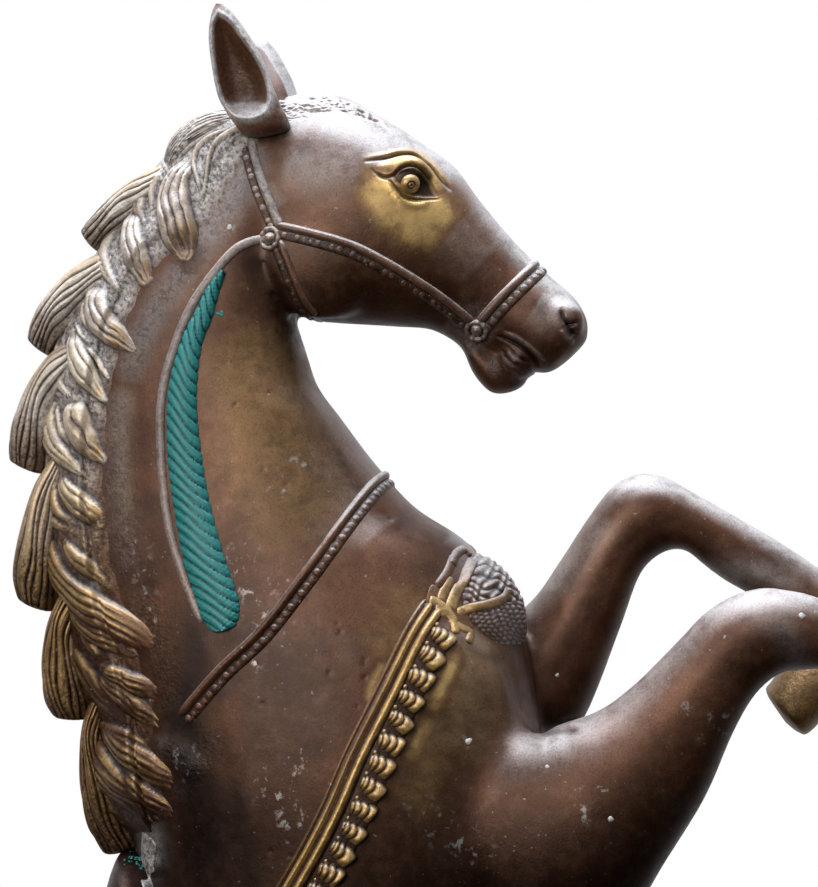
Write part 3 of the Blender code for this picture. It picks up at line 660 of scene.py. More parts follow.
@dataclass
class Flesh:
    """The bare horse: head, forehand and hindquarters, cast as three pieces that share their seams."""

    body_grain: float = 2.2
    head_grain: float = 0.9
    reach: float = 9.0
    head_cut: Rows = ((12.6, 908), (56, 806))
    girth_cut: Rows = ((1.4, 460), (154, 411))
    overlap: float = 1.2
    chin_height: float = 761.0
    shoulder: tuple[float, float, float] = (146, 56, 578)
    shoulder_reach: float = 54.0
    shoulder_rounds: int = 160
    # The parts of the sky looked at for shelter: degrees from straight up, and how many ways round.
    sky: Rows = ((30, 5), (60, 6))
    sky_start: float = 1.5
    sky_reach: float = 400.0
    shelter_rounds: int = 10
    skin: BVHTree | None = None

    def masses(self, head_only: bool) -> Form:
        """The lofts and swellings that are fused, whole or only those round the head."""
        form = Form()
        add_body(form, NECK_AND_TRUNK[:NECK_ROWS] if head_only else NECK_AND_TRUNK)
        add_body(form, SKULL)
        add_body(form, LOWER_JAW)
        for x, y, z, radius_x, radius_y, radius_z, tilt in SWELLINGS[: HEAD_SWELLINGS if head_only else None]:
            for side in Side:
                add_egg(form, (x, side.value * y, z), (radius_x, radius_y, radius_z), tilt, 24)
        if not head_only:
            add_limb(form, NEAR_FORELEG, Side.NEAR)
            add_limb(form, FAR_FORELEG, Side.FAR)
            add_limb(form, HIND_LEG, Side.NEAR)
            add_limb(form, HIND_LEG, Side.FAR, FAR_HIND_LEG_LEAD)
        return form

    def fuse(self, form: Form, name: str, grain: float) -> Piece:
        """Fuses the masses into one skin of the given grain, and softens where they meet."""
        thing = form.make(name)
        remesh = thing.modifiers.new("fuse", "REMESH")
        remesh.mode = "VOXEL"
        remesh.voxel_size = grain * MM
        bpy.ops.object.modifier_apply(modifier=remesh.name)
        soften = thing.modifiers.new("soften", "SMOOTH")
        soften.factor = 0.5
        soften.iterations = round((self.reach / grain) ** 2)
        bpy.ops.object.modifier_apply(modifier=soften.name)
        return thing

    def slice(self, thing: Piece, cut: Rows, shift: float, keep_front: bool, above: float = -1.0) -> None:
        """Cuts a piece along a plane through two points of the middle plane, and keeps one part.

        Args:
            thing: the piece.
            cut: two (x, z) points that the plane passes, from the top down.
            shift: how far the plane is moved towards the horse's front, in millimetres.
            keep_front: whether the part in front of the plane is kept.
            above: the height in millimetres under which the piece is left alone.
        """
        (top_x, top_z), (low_x, low_z) = cut
        down = Vector((low_x - top_x, 0, low_z - top_z)).normalized()
        forward = Vector((-down.z, 0, down.x))
        place = Vector((top_x, 0, top_z)) * MM + forward * shift * MM
        cut_off(thing, place, forward, keep_front, above * MM)

    def blend(self, thing: Piece) -> None:
        """Softens the shoulders once more, where the forelegs grow out of the chest."""
        places = read_places(thing)
        ends, around = neighbours(thing)
        folded = np.abs(places * [0, 1, 0]) + places * [1, 0, 1]
        distance = np.linalg.norm(folded - np.array(self.shoulder) * MM, axis=1) / MM
        weight = 0.5 * smoothstep(self.shoulder_reach, self.shoulder_reach * 0.3, distance)[:, None]
        for _ in range(self.shoulder_rounds):
            near = [np.bincount(ends[:, 0], column[ends[:, 1]]) / around for column in places.T]
            places += (np.stack(near, axis=1) - places) * weight
        write_places(thing, places)

    def build(self) -> tuple[Piece, Piece, Piece]:
        """Casts the three pieces and remembers their skin for what is laid on it.

        Returns:
            The head, the forehand and the hindquarters.
        """
        head = self.fuse(self.masses(True), "head", self.head_grain)
        self.slice(head, self.head_cut, -self.overlap, True)
        self.slice(head, ((0, self.chin_height), (1, self.chin_height)), 0.0, True)
        forehand = self.fuse(self.masses(False), "forehand", self.body_grain)
        self.blend(forehand)
        hindquarters = forehand.copy()
        hindquarters.data = forehand.data.copy()
        hindquarters.name = "hindquarters"
        bpy.context.scene.collection.objects.link(hindquarters)
        bpy.context.view_layer.update()
        self.slice(forehand, self.head_cut, self.overlap, False, self.chin_height)
        self.slice(forehand, self.girth_cut, 0.0, True)
        self.slice(hindquarters, self.girth_cut, 0.0, False)
        self.remember([head, forehand, hindquarters])
        for thing in (head, forehand, hindquarters):
            self.shelter(thing)
            take_up(thing)
            bpy.ops.object.shade_smooth_by_angle(angle=math.radians(60))
        return head, forehand, hindquarters

    def remember(self, things: Sequence[Piece]) -> None:
        """Keeps one tree of all the pieces' faces to lay things on."""
        points: list[Vector] = []
        faces: list[tuple[int, ...]] = []
        for thing in things:
            start = len(points)
            points.extend(vertex.co.copy() for vertex in thing.data.vertices)
            faces.extend(tuple(start + corner for corner in face.vertices) for face in thing.data.polygons)
        self.skin = BVHTree.FromPolygons(points, faces)

    def shelter(self, thing: Piece) -> None:
        """Marks how far the flesh itself keeps dust off each place, from 0 under the open sky to 1; the
        finish also darkens sheltered places with it as painted shade.
        """
        ways = [Vector((0, 0, 1))]
        for lean, count in self.sky:
            for i in range(count):
                turn = math.tau * (i + 0.5) / count
                flat = math.sin(math.radians(lean))
                up = math.cos(math.radians(lean))
                ways.append(Vector((flat * math.cos(turn), flat * math.sin(turn), up)))
        values = []
        for vertex in thing.data.vertices:
            start = vertex.co + vertex.normal * self.sky_start * MM
            shut = sum(self.skin.ray_cast(start, way, self.sky_reach * MM)[0] is not None for way in ways)
            values.append(shut / len(ways))
        values = np.array(values)
        ends, around = neighbours(thing)
        for _ in range(self.shelter_rounds):
            near = np.bincount(ends[:, 0], values[ends[:, 1]], minlength=len(values)) / around
            values = (values + near) / 2
        write_mark(thing.data, "shelter", values)

    def lay(self, x: float, z: float) -> tuple[Vector, Vector]:
        """Where the sculptor sees the flesh over a point of the middle plane, and how it faces there."""
        aim, way = sight(x, z)
        place, normal, _, _ = self.skin.ray_cast(SCULPTOR_EYE, way)
        if place is None:
            place, normal, _, _ = self.skin.find_nearest(aim)
        return place, normal

    def path(self, guides: Rows, steps: int) -> tuple[Array, Array, Array]:
        """A smooth path laid on the flesh.

        Args:
            guides: rows that begin with (x, z); other numbers are carried along.
            steps: steps from one guide to the next.

        Returns:
            The places in metres, the way the skin faces there, and the smoothed rows.
        """
        rows = catmull_rom(guides, steps)
        places, normals = np.array([self.lay(row[0], row[1]) for row in rows]).swapaxes(0, 1)
        for _ in range(3):
            normals[1:-1] = (normals[:-2] + normals[1:-1] * 2 + normals[2:]) / 4
        normals /= np.linalg.norm(normals, axis=1)[:, None]
        return places, normals, rows


def sweep(
    form: Form,
    places: Array,
    normals: Array,
    half_width: Array,
    half_height: Array,
    around: int,
    relief: Relief,
) -> None:
    """A strap, cord or lock along a path, with relief worked into its skin.

    Args:
        form: the form that takes it.
        places: the path, in metres.
        normals: which way is up along the path.
        half_width: half the width at each place, in millimetres.
        half_height: half the height at each place, in millimetres.
        around: how many places go round it.
        relief: from the share of the path and the angle round it, the share of the radius and the marks.
    """
    tangents = np.gradient(places, axis=0)
    across = np.cross(tangents, normals)
    across /= np.linalg.norm(across, axis=1)[:, None]
    angle = np.linspace(0, math.tau, around, endpoint=False)
    t = np.linspace(0, 1, len(places))
    grid_t, grid_angle = np.meshgrid(t, angle, indexing="ij")
    kept, marks = relief(grid_t, grid_angle)
    wide = (np.cos(grid_angle) * kept * half_width[:, None])[:, :, None] * across[:, None, :]
    high = (np.sin(grid_angle) * kept * half_height[:, None])[:, :, None] * normals[:, None, :]
    form.add_rings(places[:, None, :] + (wide + high) * MM, **marks)


def plain(
    rub: float | Sequence[float] = 0.0, hollow: float = 0.0, dust: float = 0.0, crust: float = 0.0
) -> Relief:
    """A relief that leaves the section as it is and marks it evenly, or rubs it by levels along it."""
    levels = np.atleast_1d(rub)

    def relief(t: Array, angle: Array) -> tuple[Array, Marks]:
        """The full radius, with its marks."""
        ones = np.ones_like(t)
        worn = np.interp(t, np.linspace(0, 1, len(levels)), levels)
        return ones, {"rub": worn, "hollow": ones * hollow, "dust": ones * dust, "crust": ones * crust}

    return relief


def strands(count: float, twist: float, depth: float, seed: int, rub: float, dust: float) -> Relief:
    """The relief of a lock of hair: strands of uneven width that run along it and wind a little.

    Args:
        count: how many strands lie across the lock.
        twist: how many strands pass over the top from root to tip.
        depth: how deep the grooves are, as a share of the radius.
        seed: which unevenness the strands have.
        rub: how bright the ridges are rubbed.
        dust: how much dust lies on the lock.

    Returns:
        A relief for sweep.
    """
    chance = np.random.default_rng(seed)
    widths = chance.uniform(0.55, 1.25, 64)
    widths[seed % 2 :: 4] *= 1.7
    edges = np.concatenate([[-8.0], -8.0 + np.cumsum(widths)])
    heights = chance.uniform(0.0, 0.5, 64)
    waves = chance.uniform(0, math.tau, 3)

    def relief(t: Array, angle: Array) -> tuple[Array, Marks]:
        """Rounded strands with sharp grooves between them, and fine hairs on top."""
        wave = 0.4 * np.sin(t * 5 + waves[0]) + 0.2 * np.sin(t * 13 + waves[1] + 4 * np.cos(angle))
        across = (np.cos(angle) + 1) / 2 * count + twist * t + wave
        strand = np.clip(np.searchsorted(edges, across) - 1, 0, 63)
        share = (across - edges[strand]) / widths[strand]
        ridge = np.sqrt(np.clip(1 - (2 * share - 1) ** 2, 0, 1))
        low = heights[strand]
        hairs = 0.5 + 0.5 * np.cos(math.tau * share * 3 + waves[2])
        kept = 1 - depth * (1 - ridge) - depth * 0.6 * low - depth * 0.1 * hairs
        bright = smoothstep(0.5, 0.95, ridge) * (1 - 0.9 * low) * (0.7 + 0.3 * hairs) * rub
        return kept, {"rub": bright, "hollow": smoothstep(0.85, 0.3, ridge), "dust": np.full_like(t, dust)}

    return relief


def soften(field: Array, reach: int) -> Array:
    """A field of heights, each averaged with its neighbours up to reach steps away."""
    for axis in (0, 1):
        total = np.zeros_like(field)
        for step in range(-reach, reach + 1):
            index = np.clip(np.arange(field.shape[axis]) + step, 0, field.shape[axis] - 1)
            total += np.take(field, index, axis=axis)
        field = total / (2 * reach + 1)
    return field


@dataclass
class Lock:
    """One lock of hair on the side of the neck, modelled as a height over it."""

    strands: int
    guides: list[tuple[float, float, float]]
    seed: int
    age: float

    def height(self, spots: Array) -> Array:
        """How high the lock stands at each spot in millimetres, and 0 beside it."""
        line = catmull_rom(self.guides, 8)
        widest = line[:, 2].max()
        rise = np.zeros(len(spots))
        close = np.all((spots > line[:, :2].min(0) - widest) & (spots < line[:, :2].max(0) + widest), axis=1)
        distance, along, turn = away_from(line[:, :2], spots[close])
        half = np.maximum(np.interp(along, np.linspace(0, 1, len(line)), line[:, 2]), 0.7)
        chance = np.random.default_rng(self.seed)
        edges = np.linspace(-1, 1, self.strands + 1)
        edges[1:-1] += chance.uniform(-0.35, 0.35, self.strands - 1) / self.strands
        low = chance.uniform(0.0, 0.35, self.strands)
        phase = chance.uniform(0, math.tau, 2)
        side = distance * turn / half
        wander = 0.1 * np.sin(along * 6 + phase[0]) + 0.05 * np.sin(along * 15 + phase[1])
        wavy = side + wander * (1 - side**2)
        strand = np.clip(np.searchsorted(edges, wavy) - 1, 0, self.strands - 1)
        share = (wavy - edges[strand]) / (edges[strand + 1] - edges[strand])
        ridge = np.sqrt(np.clip(1 - (2 * share - 1) ** 2, 0, 1))
        hairs = 0.5 + 0.5 * np.cos(math.tau * (wavy * half / 2.8 + 0.4 * np.sin(along * 9 + phase[1])))
        dome = np.clip(1 - side**2, 0, 1) ** 0.42
        fade = 0.45 * self.age
        tip = smoothstep(0.4 + 0.2 * self.age, 0.95, along)
        ends = (0.35 + 0.65 * smoothstep(0, 0.16, along)) * (1 - (1 - fade) * tip)
        groove = 0.0 if self.strands == 1 else 0.32
        body = 1 - groove * (1 - ridge) - groove * low[strand]
        rise[close] = (1.3 + 0.62 * half) * dome * ends * body - 0.2 * hairs
        return np.maximum(rise, 0)


@dataclass
class Mane:
    """The mane: tufts that stand out behind the crest, and a bed of fused locks down each side."""

    rows_a_guide: int = 34
    side_steps: int = 84
    reach: float = 1.5
    tuft_strand_width: float = 3.1
    poll_strand_width: float = 1.6
    tuft_swell: float = 1.13
    bed: float = 1.1
    sunk: float = 2.2
    crust: float = 0.45
    dusty_above: float = 800.0
    brown_below: float = 600.0

    def age(self, height: Array) -> Array:
        """How pale and dusty the hair at this height is, from 0 low on the neck to 1 at the poll."""
        return smoothstep(self.brown_below, self.dusty_above, np.asarray(height, float))

    def tufts(self) -> Form:
        """The tufts on the middle plane."""
        form = Form()
        angle = np.linspace(0, math.tau, 150, endpoint=False)
        for seed, guides in enumerate(TUFTS):
            rows = catmull_rom(guides, 12)
            t = np.linspace(0, 1, len(rows))
            width = np.hypot(rows[:, 0] - rows[:, 2], rows[:, 1] - rows[:, 3]).max()
            age = float(self.age(guides[0][1]))
            strand = self.tuft_strand_width if seed else self.poll_strand_width
            dust = 0.75 * age - 0.3 if seed else 0.7
            rub = 0.6 + 0.6 * age if seed else 0.35
            relief = strands(width / strand, 0.7, 0.12 if seed else 0.08, 40 + seed, rub, dust)
            grid_t, grid_angle = np.meshgrid(t, angle, indexing="ij")
            kept, marks = relief(grid_t, grid_angle)
            flat = np.zeros(len(rows))
            middle = np.stack([(rows[:, 0] + rows[:, 2]) / 2, flat, (rows[:, 1] + rows[:, 3]) / 2], axis=1)
            edge = np.stack([(rows[:, 0] - rows[:, 2]) / 2, flat, (rows[:, 1] - rows[:, 3]) / 2], axis=1)
            wide = np.cos(grid_angle)[:, :, None] * edge[:, None, :] * (self.tuft_swell if seed else 1.0)
            blunt = np.sign(np.sin(grid_angle)) * np.abs(np.sin(grid_angle)) ** 0.8
            thick = (blunt * rows[:, 4:5])[:, :, None] * np.array([0.0, 1.0, 0.0])
            rounded = np.sqrt(np.clip(1 - ((t - 0.94) / 0.065).clip(0, 1) ** 2, 0, 1))
            kept = kept * (0.5 + 0.5 * rounded)[:, None]
            marks["hollow"] = np.maximum(marks["hollow"] * (0.85 - 0.3 * age), (1 - rounded)[:, None] * 0.6)
            low = smoothstep(0.45, 0.9, grid_t) * (1.0 if seed else 0.0)
            marks["rub"] = marks["rub"] * (1 - 0.55 * low)
            marks["hollow"] = marks["hollow"] + 0.25 * low
            behind = smoothstep(0.3, -0.9, np.cos(grid_angle))
            marks["dust"] = marks["dust"] * (1 - low) - 0.4 * low + 0.35 * (1 - low) * behind
            marks["crust"] = np.clip(
                0.35 + 0.6 * smoothstep(0.3, 1.0, t)[:, None] - 0.3 * np.cos(grid_angle), 0, 1
            )
            form.add_rings((middle[:, None, :] + (wide + thick) * kept[:, :, None]) * MM, **marks)
        return form

    def lay_bed(self, flesh: Flesh) -> tuple[Array, Array, Array]:
        """The smooth ground the locks lie on, from the crest out over the neck.

        Args:
            flesh: the horse.

        Returns:
            The places in millimetres by row and column, the same as seen, and each column's share.
        """
        rows = catmull_rom(MANE_ROOTS, self.rows_a_guide)
        outer = rows[:, :2]
        inner = outer + (rows[:, 2:] - outer) * self.reach
        share = np.linspace(0, 1, self.side_steps)
        edge_depths = np.array([-flesh.lay(x, z)[0].y / MM for x, z in rows[:, 2:]])
        edge_depths = np.convolve(np.pad(edge_depths, 12, mode="edge"), np.ones(25) / 25, mode="valid")
        seen = outer[:, None, :] + (inner - outer)[:, None, :] * share[None, :, None]
        depth = np.zeros(seen.shape[:2])
        for i, row in enumerate(seen):
            for k, (x, z) in enumerate(row):
                hit, _, _, _ = flesh.skin.ray_cast(SCULPTOR_EYE, sight(x, z)[1])
                u = share[k] * self.reach
                fall = 1 - smoothstep(0.6, 0.9, u)
                arc = (edge_depths[i] + 1.0) * math.sin(math.pi / 2 * min(u, 1)) ** 0.8 * fall
                depth[i, k] = max(arc, -hit.y / MM if hit is not None else 0.0)
        return at_depth(seen[:, :, 0], seen[:, :, 1], -soften(depth, 2)), seen, share

    def side(self, flesh: Flesh) -> Form:
        """The fused locks of one side, and their mirror image."""
        surface, seen, share = self.lay_bed(flesh)
        run = np.gradient(surface, axis=0)
        over = np.gradient(surface, axis=1)
        normal = np.cross(run, over)
        normal *= np.where(normal[:, :, 1:2] > 0, -1, 1)
        normal = np.stack([soften(normal[:, :, axis], 5) for axis in range(3)], axis=2)
        normal /= np.linalg.norm(normal, axis=2)[:, :, None] + 1e-9
        spots = seen.reshape(-1, 2)
        age = self.age(seen[:, :, 1])
        rise = np.zeros(len(spots))
        for seed, (count, guides) in enumerate(LOCKS):
            rise = np.maximum(rise, Lock(count, guides, seed, float(self.age(guides[0][1]))).height(spots))
        rise = rise.reshape(age.shape)
        way = np.linspace(0, 1, len(age))[:, None]
        ragged = 0.012 * np.sin(way * 63) + 0.01 * np.sin(way * 157 + 1)
        covered = 1 - smoothstep(0.45, 0.92, share[None, :] + ragged)
        bedded = covered * smoothstep(0, 0.02, way) * smoothstep(1, 0.97, way)
        chance = np.random.default_rng(9)
        grain = soften(chance.uniform(-1, 1, age.shape), 1) * 1.6
        grain += soften(chance.uniform(-1, 1, age.shape), 3) * 4
        bare = smoothstep(1.4, 0.2, rise)
        worn = smoothstep(0.7, 0.97, bedded)
        ground = bedded * (self.bed + self.sunk) - self.sunk + self.crust * grain * worn
        firm = 1 - smoothstep(0.45, 0.92, share)[None, :]
        laid = rise + self.bed * firm - 0.9 * (1 - firm) + 0.25 * self.crust * grain
        rise = np.where(rise > 0, np.maximum(ground, laid), ground) * smoothstep(0, 0.07, share)[None, :]
        fine = rise - soften(rise, 1)
        broad = rise - soften(rise, 6)
        sharp = smoothstep(0.04, 0.24, fine)
        ridges = smoothstep(-0.3, 0.7, broad)
        creases = np.clip(smoothstep(0.2, 1.3, -broad) * 0.8 + smoothstep(0.04, 0.26, -fine), 0, 1)
        patchy = np.clip(0.6 + 9 * soften(chance.uniform(-1, 1, age.shape), 7), 0.15, 1.2)
        light = age * np.clip(0.95 * ridges + 0.4 * sharp, 0, 1) + (1 - age) * patchy * 0.5 * sharp
        surface = surface + normal * rise[:, :, None]
        closing = surface[:, -1:, :].copy()
        closing[:, :, 1] = 0.0
        form = Form()
        bright = light * (1.4 - 0.8 * smoothstep(0.97, 1.0, age)) * (0.3 + 0.7 * smoothstep(0.3, 1.0, firm))
        marks = {
            "rub": bright,
            # Darker in the creases between the locks: dirt held there, and painted shade.
            "hollow": creases * 0.75 * (0.35 + 0.65 * firm) + 0.15 * (1 - age) * (1 - sharp),
            "dust": age * (worn * (0.4 * bare + 0.15) + 0.2) - (1 - age) * (0.4 - 0.8 * creases * patchy),
            "crust": np.clip(bare + 0.45 * creases + 0.3 * worn, 0, 1) * (0.55 + 0.35 * age),
        }
        closed = {name: np.pad(values, ((0, 0), (0, 1))) for name, values in marks.items()}
        form.add_rings(np.concatenate([surface, closing], axis=1) * MM, **closed)
        return form.both_sides()


def at_depth(x: Array, z: Array, y: Array) -> Array:
    """Places in millimetres at depth y that the sculptor sees over points (x, z) of the middle plane."""
    eye = np.array(SCULPTOR_EYE) / MM
    deep = np.asarray(y, float) + 0 * x
    share = (deep - eye[1]) / -eye[1]
    return np.stack([eye[0] + (x - eye[0]) * share, deep, eye[2] + (z - eye[2]) * share], axis=-1)


def within(corners: Rows, spots: Array) -> Array:
    """How far each spot lies inside an outline, in millimetres, or as a negative number outside it."""
    line = np.array(corners)
    inside = np.zeros(len(spots), bool)
    for (ax, az), (bx, bz) in zip(line, np.roll(line, -1, axis=0)):
        crossing = (az > spots[:, 1]) != (bz > spots[:, 1])
        at = (bx - ax) * (spots[:, 1] - az) / (bz - az + 1e-12) + ax
        inside ^= crossing & (spots[:, 0] < at)
    distance, _, _ = away_from(np.vstack([line, line[:1]]), spots)
    return np.where(inside, distance, -distance)


@dataclass
class Ear:
    """A cupped ear, its hollow turned to its own side, with a raised rim round it."""

    # Rows are (back edge x, z, front edge x, z, half thickness, distance to the side), root to tip.
    rows: Rows = (
        (25, 896, 37, 898, 8, 2), (21, 893.5, 40, 896.5, 10, 14), (16, 895.5, 40.2, 899.5, 12, 21),
        (10.5, 902.5, 38, 905, 12, 24), (6.5, 908.5, 35.5, 909.5, 11.5, 25.5),
        (3.5, 914, 33.3, 914.5, 11, 27), (1.8, 920, 31, 920, 10.5, 28), (0.2, 928.5, 28, 928.5, 9.5, 29),
        (-1, 936.5, 24.5, 936.5, 8, 30), (-1.7, 944, 20, 944, 6.5, 31), (-1.4, 951.5, 15, 951.5, 5, 32),
        (0, 957.8, 9.6, 958, 3.6, 33), (2, 962, 5, 962, 1.4, 34),
    )
    opening: Rows = (
        (3, 957), (0.2, 951), (0, 943.5), (0.6, 935), (2, 925), (4, 917), (6.5, 911), (10.5, 906.5),
        (15.5, 904.8), (21, 905.3), (26, 907.8), (29, 912.5), (28.8, 920), (26.2, 928), (21.5, 936.5),
        (15.5, 945), (9.5, 953),
    )
    cup: float = 1.45
    bowl: float = 10.0
    around: int = 160

    def add_to(self, form: Form, side: Side, lean_forward: float, drop: float, dust: float) -> None:
        """Adds the ear of one side with its dust, its tip leant forward and let down so many millimetres."""
        rows = catmull_rom(self.rows, 9)
        share = np.linspace(0, 1, len(rows))[:, None]
        angle = np.linspace(0, math.tau, self.around, endpoint=False)[None, :]
        x = (rows[:, 0:1] + rows[:, 2:3]) / 2 + (rows[:, 0:1] - rows[:, 2:3]) / 2 * np.cos(angle)
        z = (rows[:, 1:2] + rows[:, 3:4]) / 2 + (rows[:, 1:2] - rows[:, 3:4]) / 2 * np.cos(angle)
        outward = np.sin(angle) * rows[:, 4:5]
        edge = catmull_rom([*self.opening, self.opening[0]], 5)[:-1]
        inside = within(edge, np.stack([x.ravel(), z.ravel()], axis=1)).reshape(x.shape)
        front = np.sin(angle) > 0
        bowl = 1 - (1 - np.clip(inside / self.bowl, 0, 1)) ** 2
        for _ in range(6):
            bowl[1:-1, 1:-1] = (bowl[:-2, 1:-1] + bowl[2:, 1:-1] + bowl[1:-1, :-2] + bowl[1:-1, 2:]) / 4
        cut = self.cup * rows[:, 4:5] * bowl - 0.8 * np.exp(-(((inside + 0.7) / 1.1) ** 2))
        outward = outward - np.where(front, cut, 0)
        places = at_depth(x, z, -(rows[:, 5:6] + outward))
        places[:, :, 0] += lean_forward * share
        places[:, :, 2] -= drop * share
        places[:, :, 1] *= -side.value
        rim = np.exp(-((np.minimum(inside + 0.6, 0) / 2.6) ** 2)) * smoothstep(1.8, 0.4, inside)
        settled_dust_and_sheen = 0.45 * smoothstep(0.6, 0.2, share) * smoothstep(-1, 1, inside)
        settled_dust_and_sheen -= 0.3 * smoothstep(-1.5, -4, inside)
        # The hollow mark darkens the cup deep inside and the root of the ear: painted shade.
        form.add_rings(
            places * MM,
            hollow=np.where(
                front, 0.4 * smoothstep(0.6, 6.0, inside), 0
            ) + 0.35 * smoothstep(0.3, 0.1, share),
            dust=np.where(front, np.maximum(1.1 * rim, settled_dust_and_sheen - 0.1), -1.4 * (1 - rim)) + dust,
            crust=np.where(front, 0.5, 0.15),
        )

    def pair(self) -> Form:
        """Both ears."""
        form = Form()
        self.add_to(form, Side.NEAR, 0.0, 0.0, 0.0)
        self.add_to(form, Side.FAR, 9.5, 5.0, 1.5)
        return form


def offset(guides: Rows, distance: float) -> list[tuple[float, float]]:
    """Guide points moved sideways, to the right of the way they run when that is positive."""
    rows = np.array([guide[:2] for guide in guides], float)
    run = np.gradient(rows, axis=0)
    run /= np.linalg.norm(run, axis=1)[:, None]
    right = np.stack([run[:, 1], -run[:, 0]], axis=1)
    return [tuple(row) for row in rows + right * distance]


@dataclass
class Face:
    """What is worked into the head: eyes, nostrils, mouth and forelock, in millimetres as seen."""

    eye_centre: tuple[float, float] = (100.0, 869.5)
    eye_radius: float = 4.8
    forelock_hairs: int = 120
    brow_curve: float = 0.0115
    # Where the mesh is finer: round the eye (x, z, half width, half height), and past the muzzle's (x, z).
    eye_field: tuple = (99, 873, 23, 14)
    muzzle_field: tuple = (142, 808)
    opening: Rows = (
        (90.5, 873.5), (95.5, 877.3), (99.5, 878.6), (103.5, 878), (107.5, 875), (111.5, 869.5),
        (115, 862.8), (108, 862.5), (102, 863.5), (97, 867), (93, 870.5),
    )

    def strokes(self) -> list[Stroke]:
        """Every stroke of the face."""
        crease = [
            (78, 881.5), (88, 883), (95.5, 884.7), (103, 884), (110.5, 878.5), (115.5, 872.5),
            (120.5, 866.5),
        ]
        lid = [(84, 878.5), (92, 880), (98, 881.8), (104, 881), (109, 876.8), (113, 871), (117, 865)]
        lash = [
            (81.5, 877.5), (84.5, 875), (88, 873.5), (92, 874.5), (95.5, 877.5), (99.5, 879),
            (103.5, 878.5), (107.5, 875.5), (111.5, 870), (115.5, 863),
        ]
        under = [(84, 874), (90, 871.5), (93, 868), (97.5, 863.5), (103, 861.8), (109, 862), (115.5, 862)]
        cuts = [
            Stroke(lid, 2.3, -1.2, rub=1.15),
            Stroke(crease, 0.75, 1.5, hollow=1.0),
            Stroke(offset(crease, -1.7), 1.1, -0.4, rub=0.75),
            Stroke(lash, 0.9, 1.5, hollow=1.0),
            Stroke(under, 0.7, 0.8, hollow=0.8),
            Stroke([(92, 866), (97, 861), (103, 859), (110, 859.5)], 1.8, -0.6, rub=1.1),
            Stroke([(82, 873), (85, 864), (93, 854), (104, 847), (117, 846)], 7.0, rub=1.3, dust=-0.6),
            Stroke([(82, 874), (90, 863), (99, 856), (112, 855), (122, 857)], 7.0, rub=1.8, dust=-0.6),
            Stroke([(176, 806.5), (177, 802), (180.5, 798.8), (184.5, 800.5)], 1.1, 1.8, hollow=1.0),
            Stroke([(179.5, 800), (181, 796.5), (182.5, 793)], 1.9, 1.6, hollow=1.0),
            Stroke([(176.5, 797), (178.5, 792.5), (182.5, 790)], 1.4, -0.7, dust=0.2),
            Stroke([(143, 794), (151, 790.5), (157, 787), (162, 782.5), (165, 778.5)], 0.8, 1.5, hollow=1.0),
            Stroke([(147, 795.5), (155, 792), (163, 786), (168.5, 781)], 1.0, -0.5, dust=0.15, crust=0.6),
            Stroke([(150, 786.5), (155, 783), (160, 780)], 1.0, 1.2, hollow=0.8),
            Stroke([(146, 787), (150, 781), (156, 777.5)], 1.2, 0.9, hollow=0.7),
            Stroke([(154, 774), (158.5, 775), (162, 777)], 1.9, -1.2, hollow=0.3, crust=0.6),
            # The next four strokes pale the muzzle, the side of the nose, the cheek and the brow: painted
            # highlights.
            Stroke([(165, 813), (176, 806)], 11, dust=0.3),
            Stroke([(122, 849), (140, 832)], 14, dust=0.14),
            Stroke([(36, 884), (55, 880), (76, 884)], 13, dust=0.3),
            Stroke([(34, 905), (52, 904), (74, 898), (92, 888)], 10, dust=0.7),
            Stroke([(26, 870), (34, 858)], 6, dust=0.2),
            # Darker along the lower jaw: painted shade.
            Stroke([(60, 815), (90, 808), (120, 800)], 12, hollow=0.35),
        ]
        chance = np.random.default_rng(11)
        for _ in range(self.forelock_hairs):
            start = 29 + 52 * chance.uniform() ** 1.3
            below = 0.8 + (12.5 - 0.21 * (start - 29)) * chance.uniform()
            reach = 4 + 7 * chance.uniform()
            phase = math.tau * chance.uniform()
            guides = []
            for k in range(5):
                x = start + reach * k / 4
                brow = 915 - self.brow_curve * max(x - 52, 0) ** 2
                guides.append((x, brow - below + 0.4 * math.sin(1.9 * k + phase)))
            cuts.append(Stroke(guides, 0.42, 0.42, hollow=0.16))
        return cuts

    def carved(self, middles: list[Vector]) -> Array:
        """Which faces of the head lie where the eye, the muzzle and the forelock are carved."""
        x, z = as_seen(np.array(middles)).T
        eye_x, eye_z, half_width, half_height = self.eye_field
        eye = (np.abs(x - eye_x) < half_width) & (np.abs(z - eye_z) < half_height)
        muzzle = (x > self.muzzle_field[0]) & (z < self.muzzle_field[1])
        forelock = (x > 26) & (x < 90) & (z > 912 - self.brow_curve * (x - 26) ** 2 * 0.45 - 12)
        return eye | muzzle | forelock

    def carve(self, head: Piece, wear: list[Stroke]) -> None:
        """Works the strokes, the wear with its painted shade and highlights, and the eye's opening into the
        head.
        """
        make_finer(head, self.carved)
        chisel(head, self.strokes() + wear, self.opening)

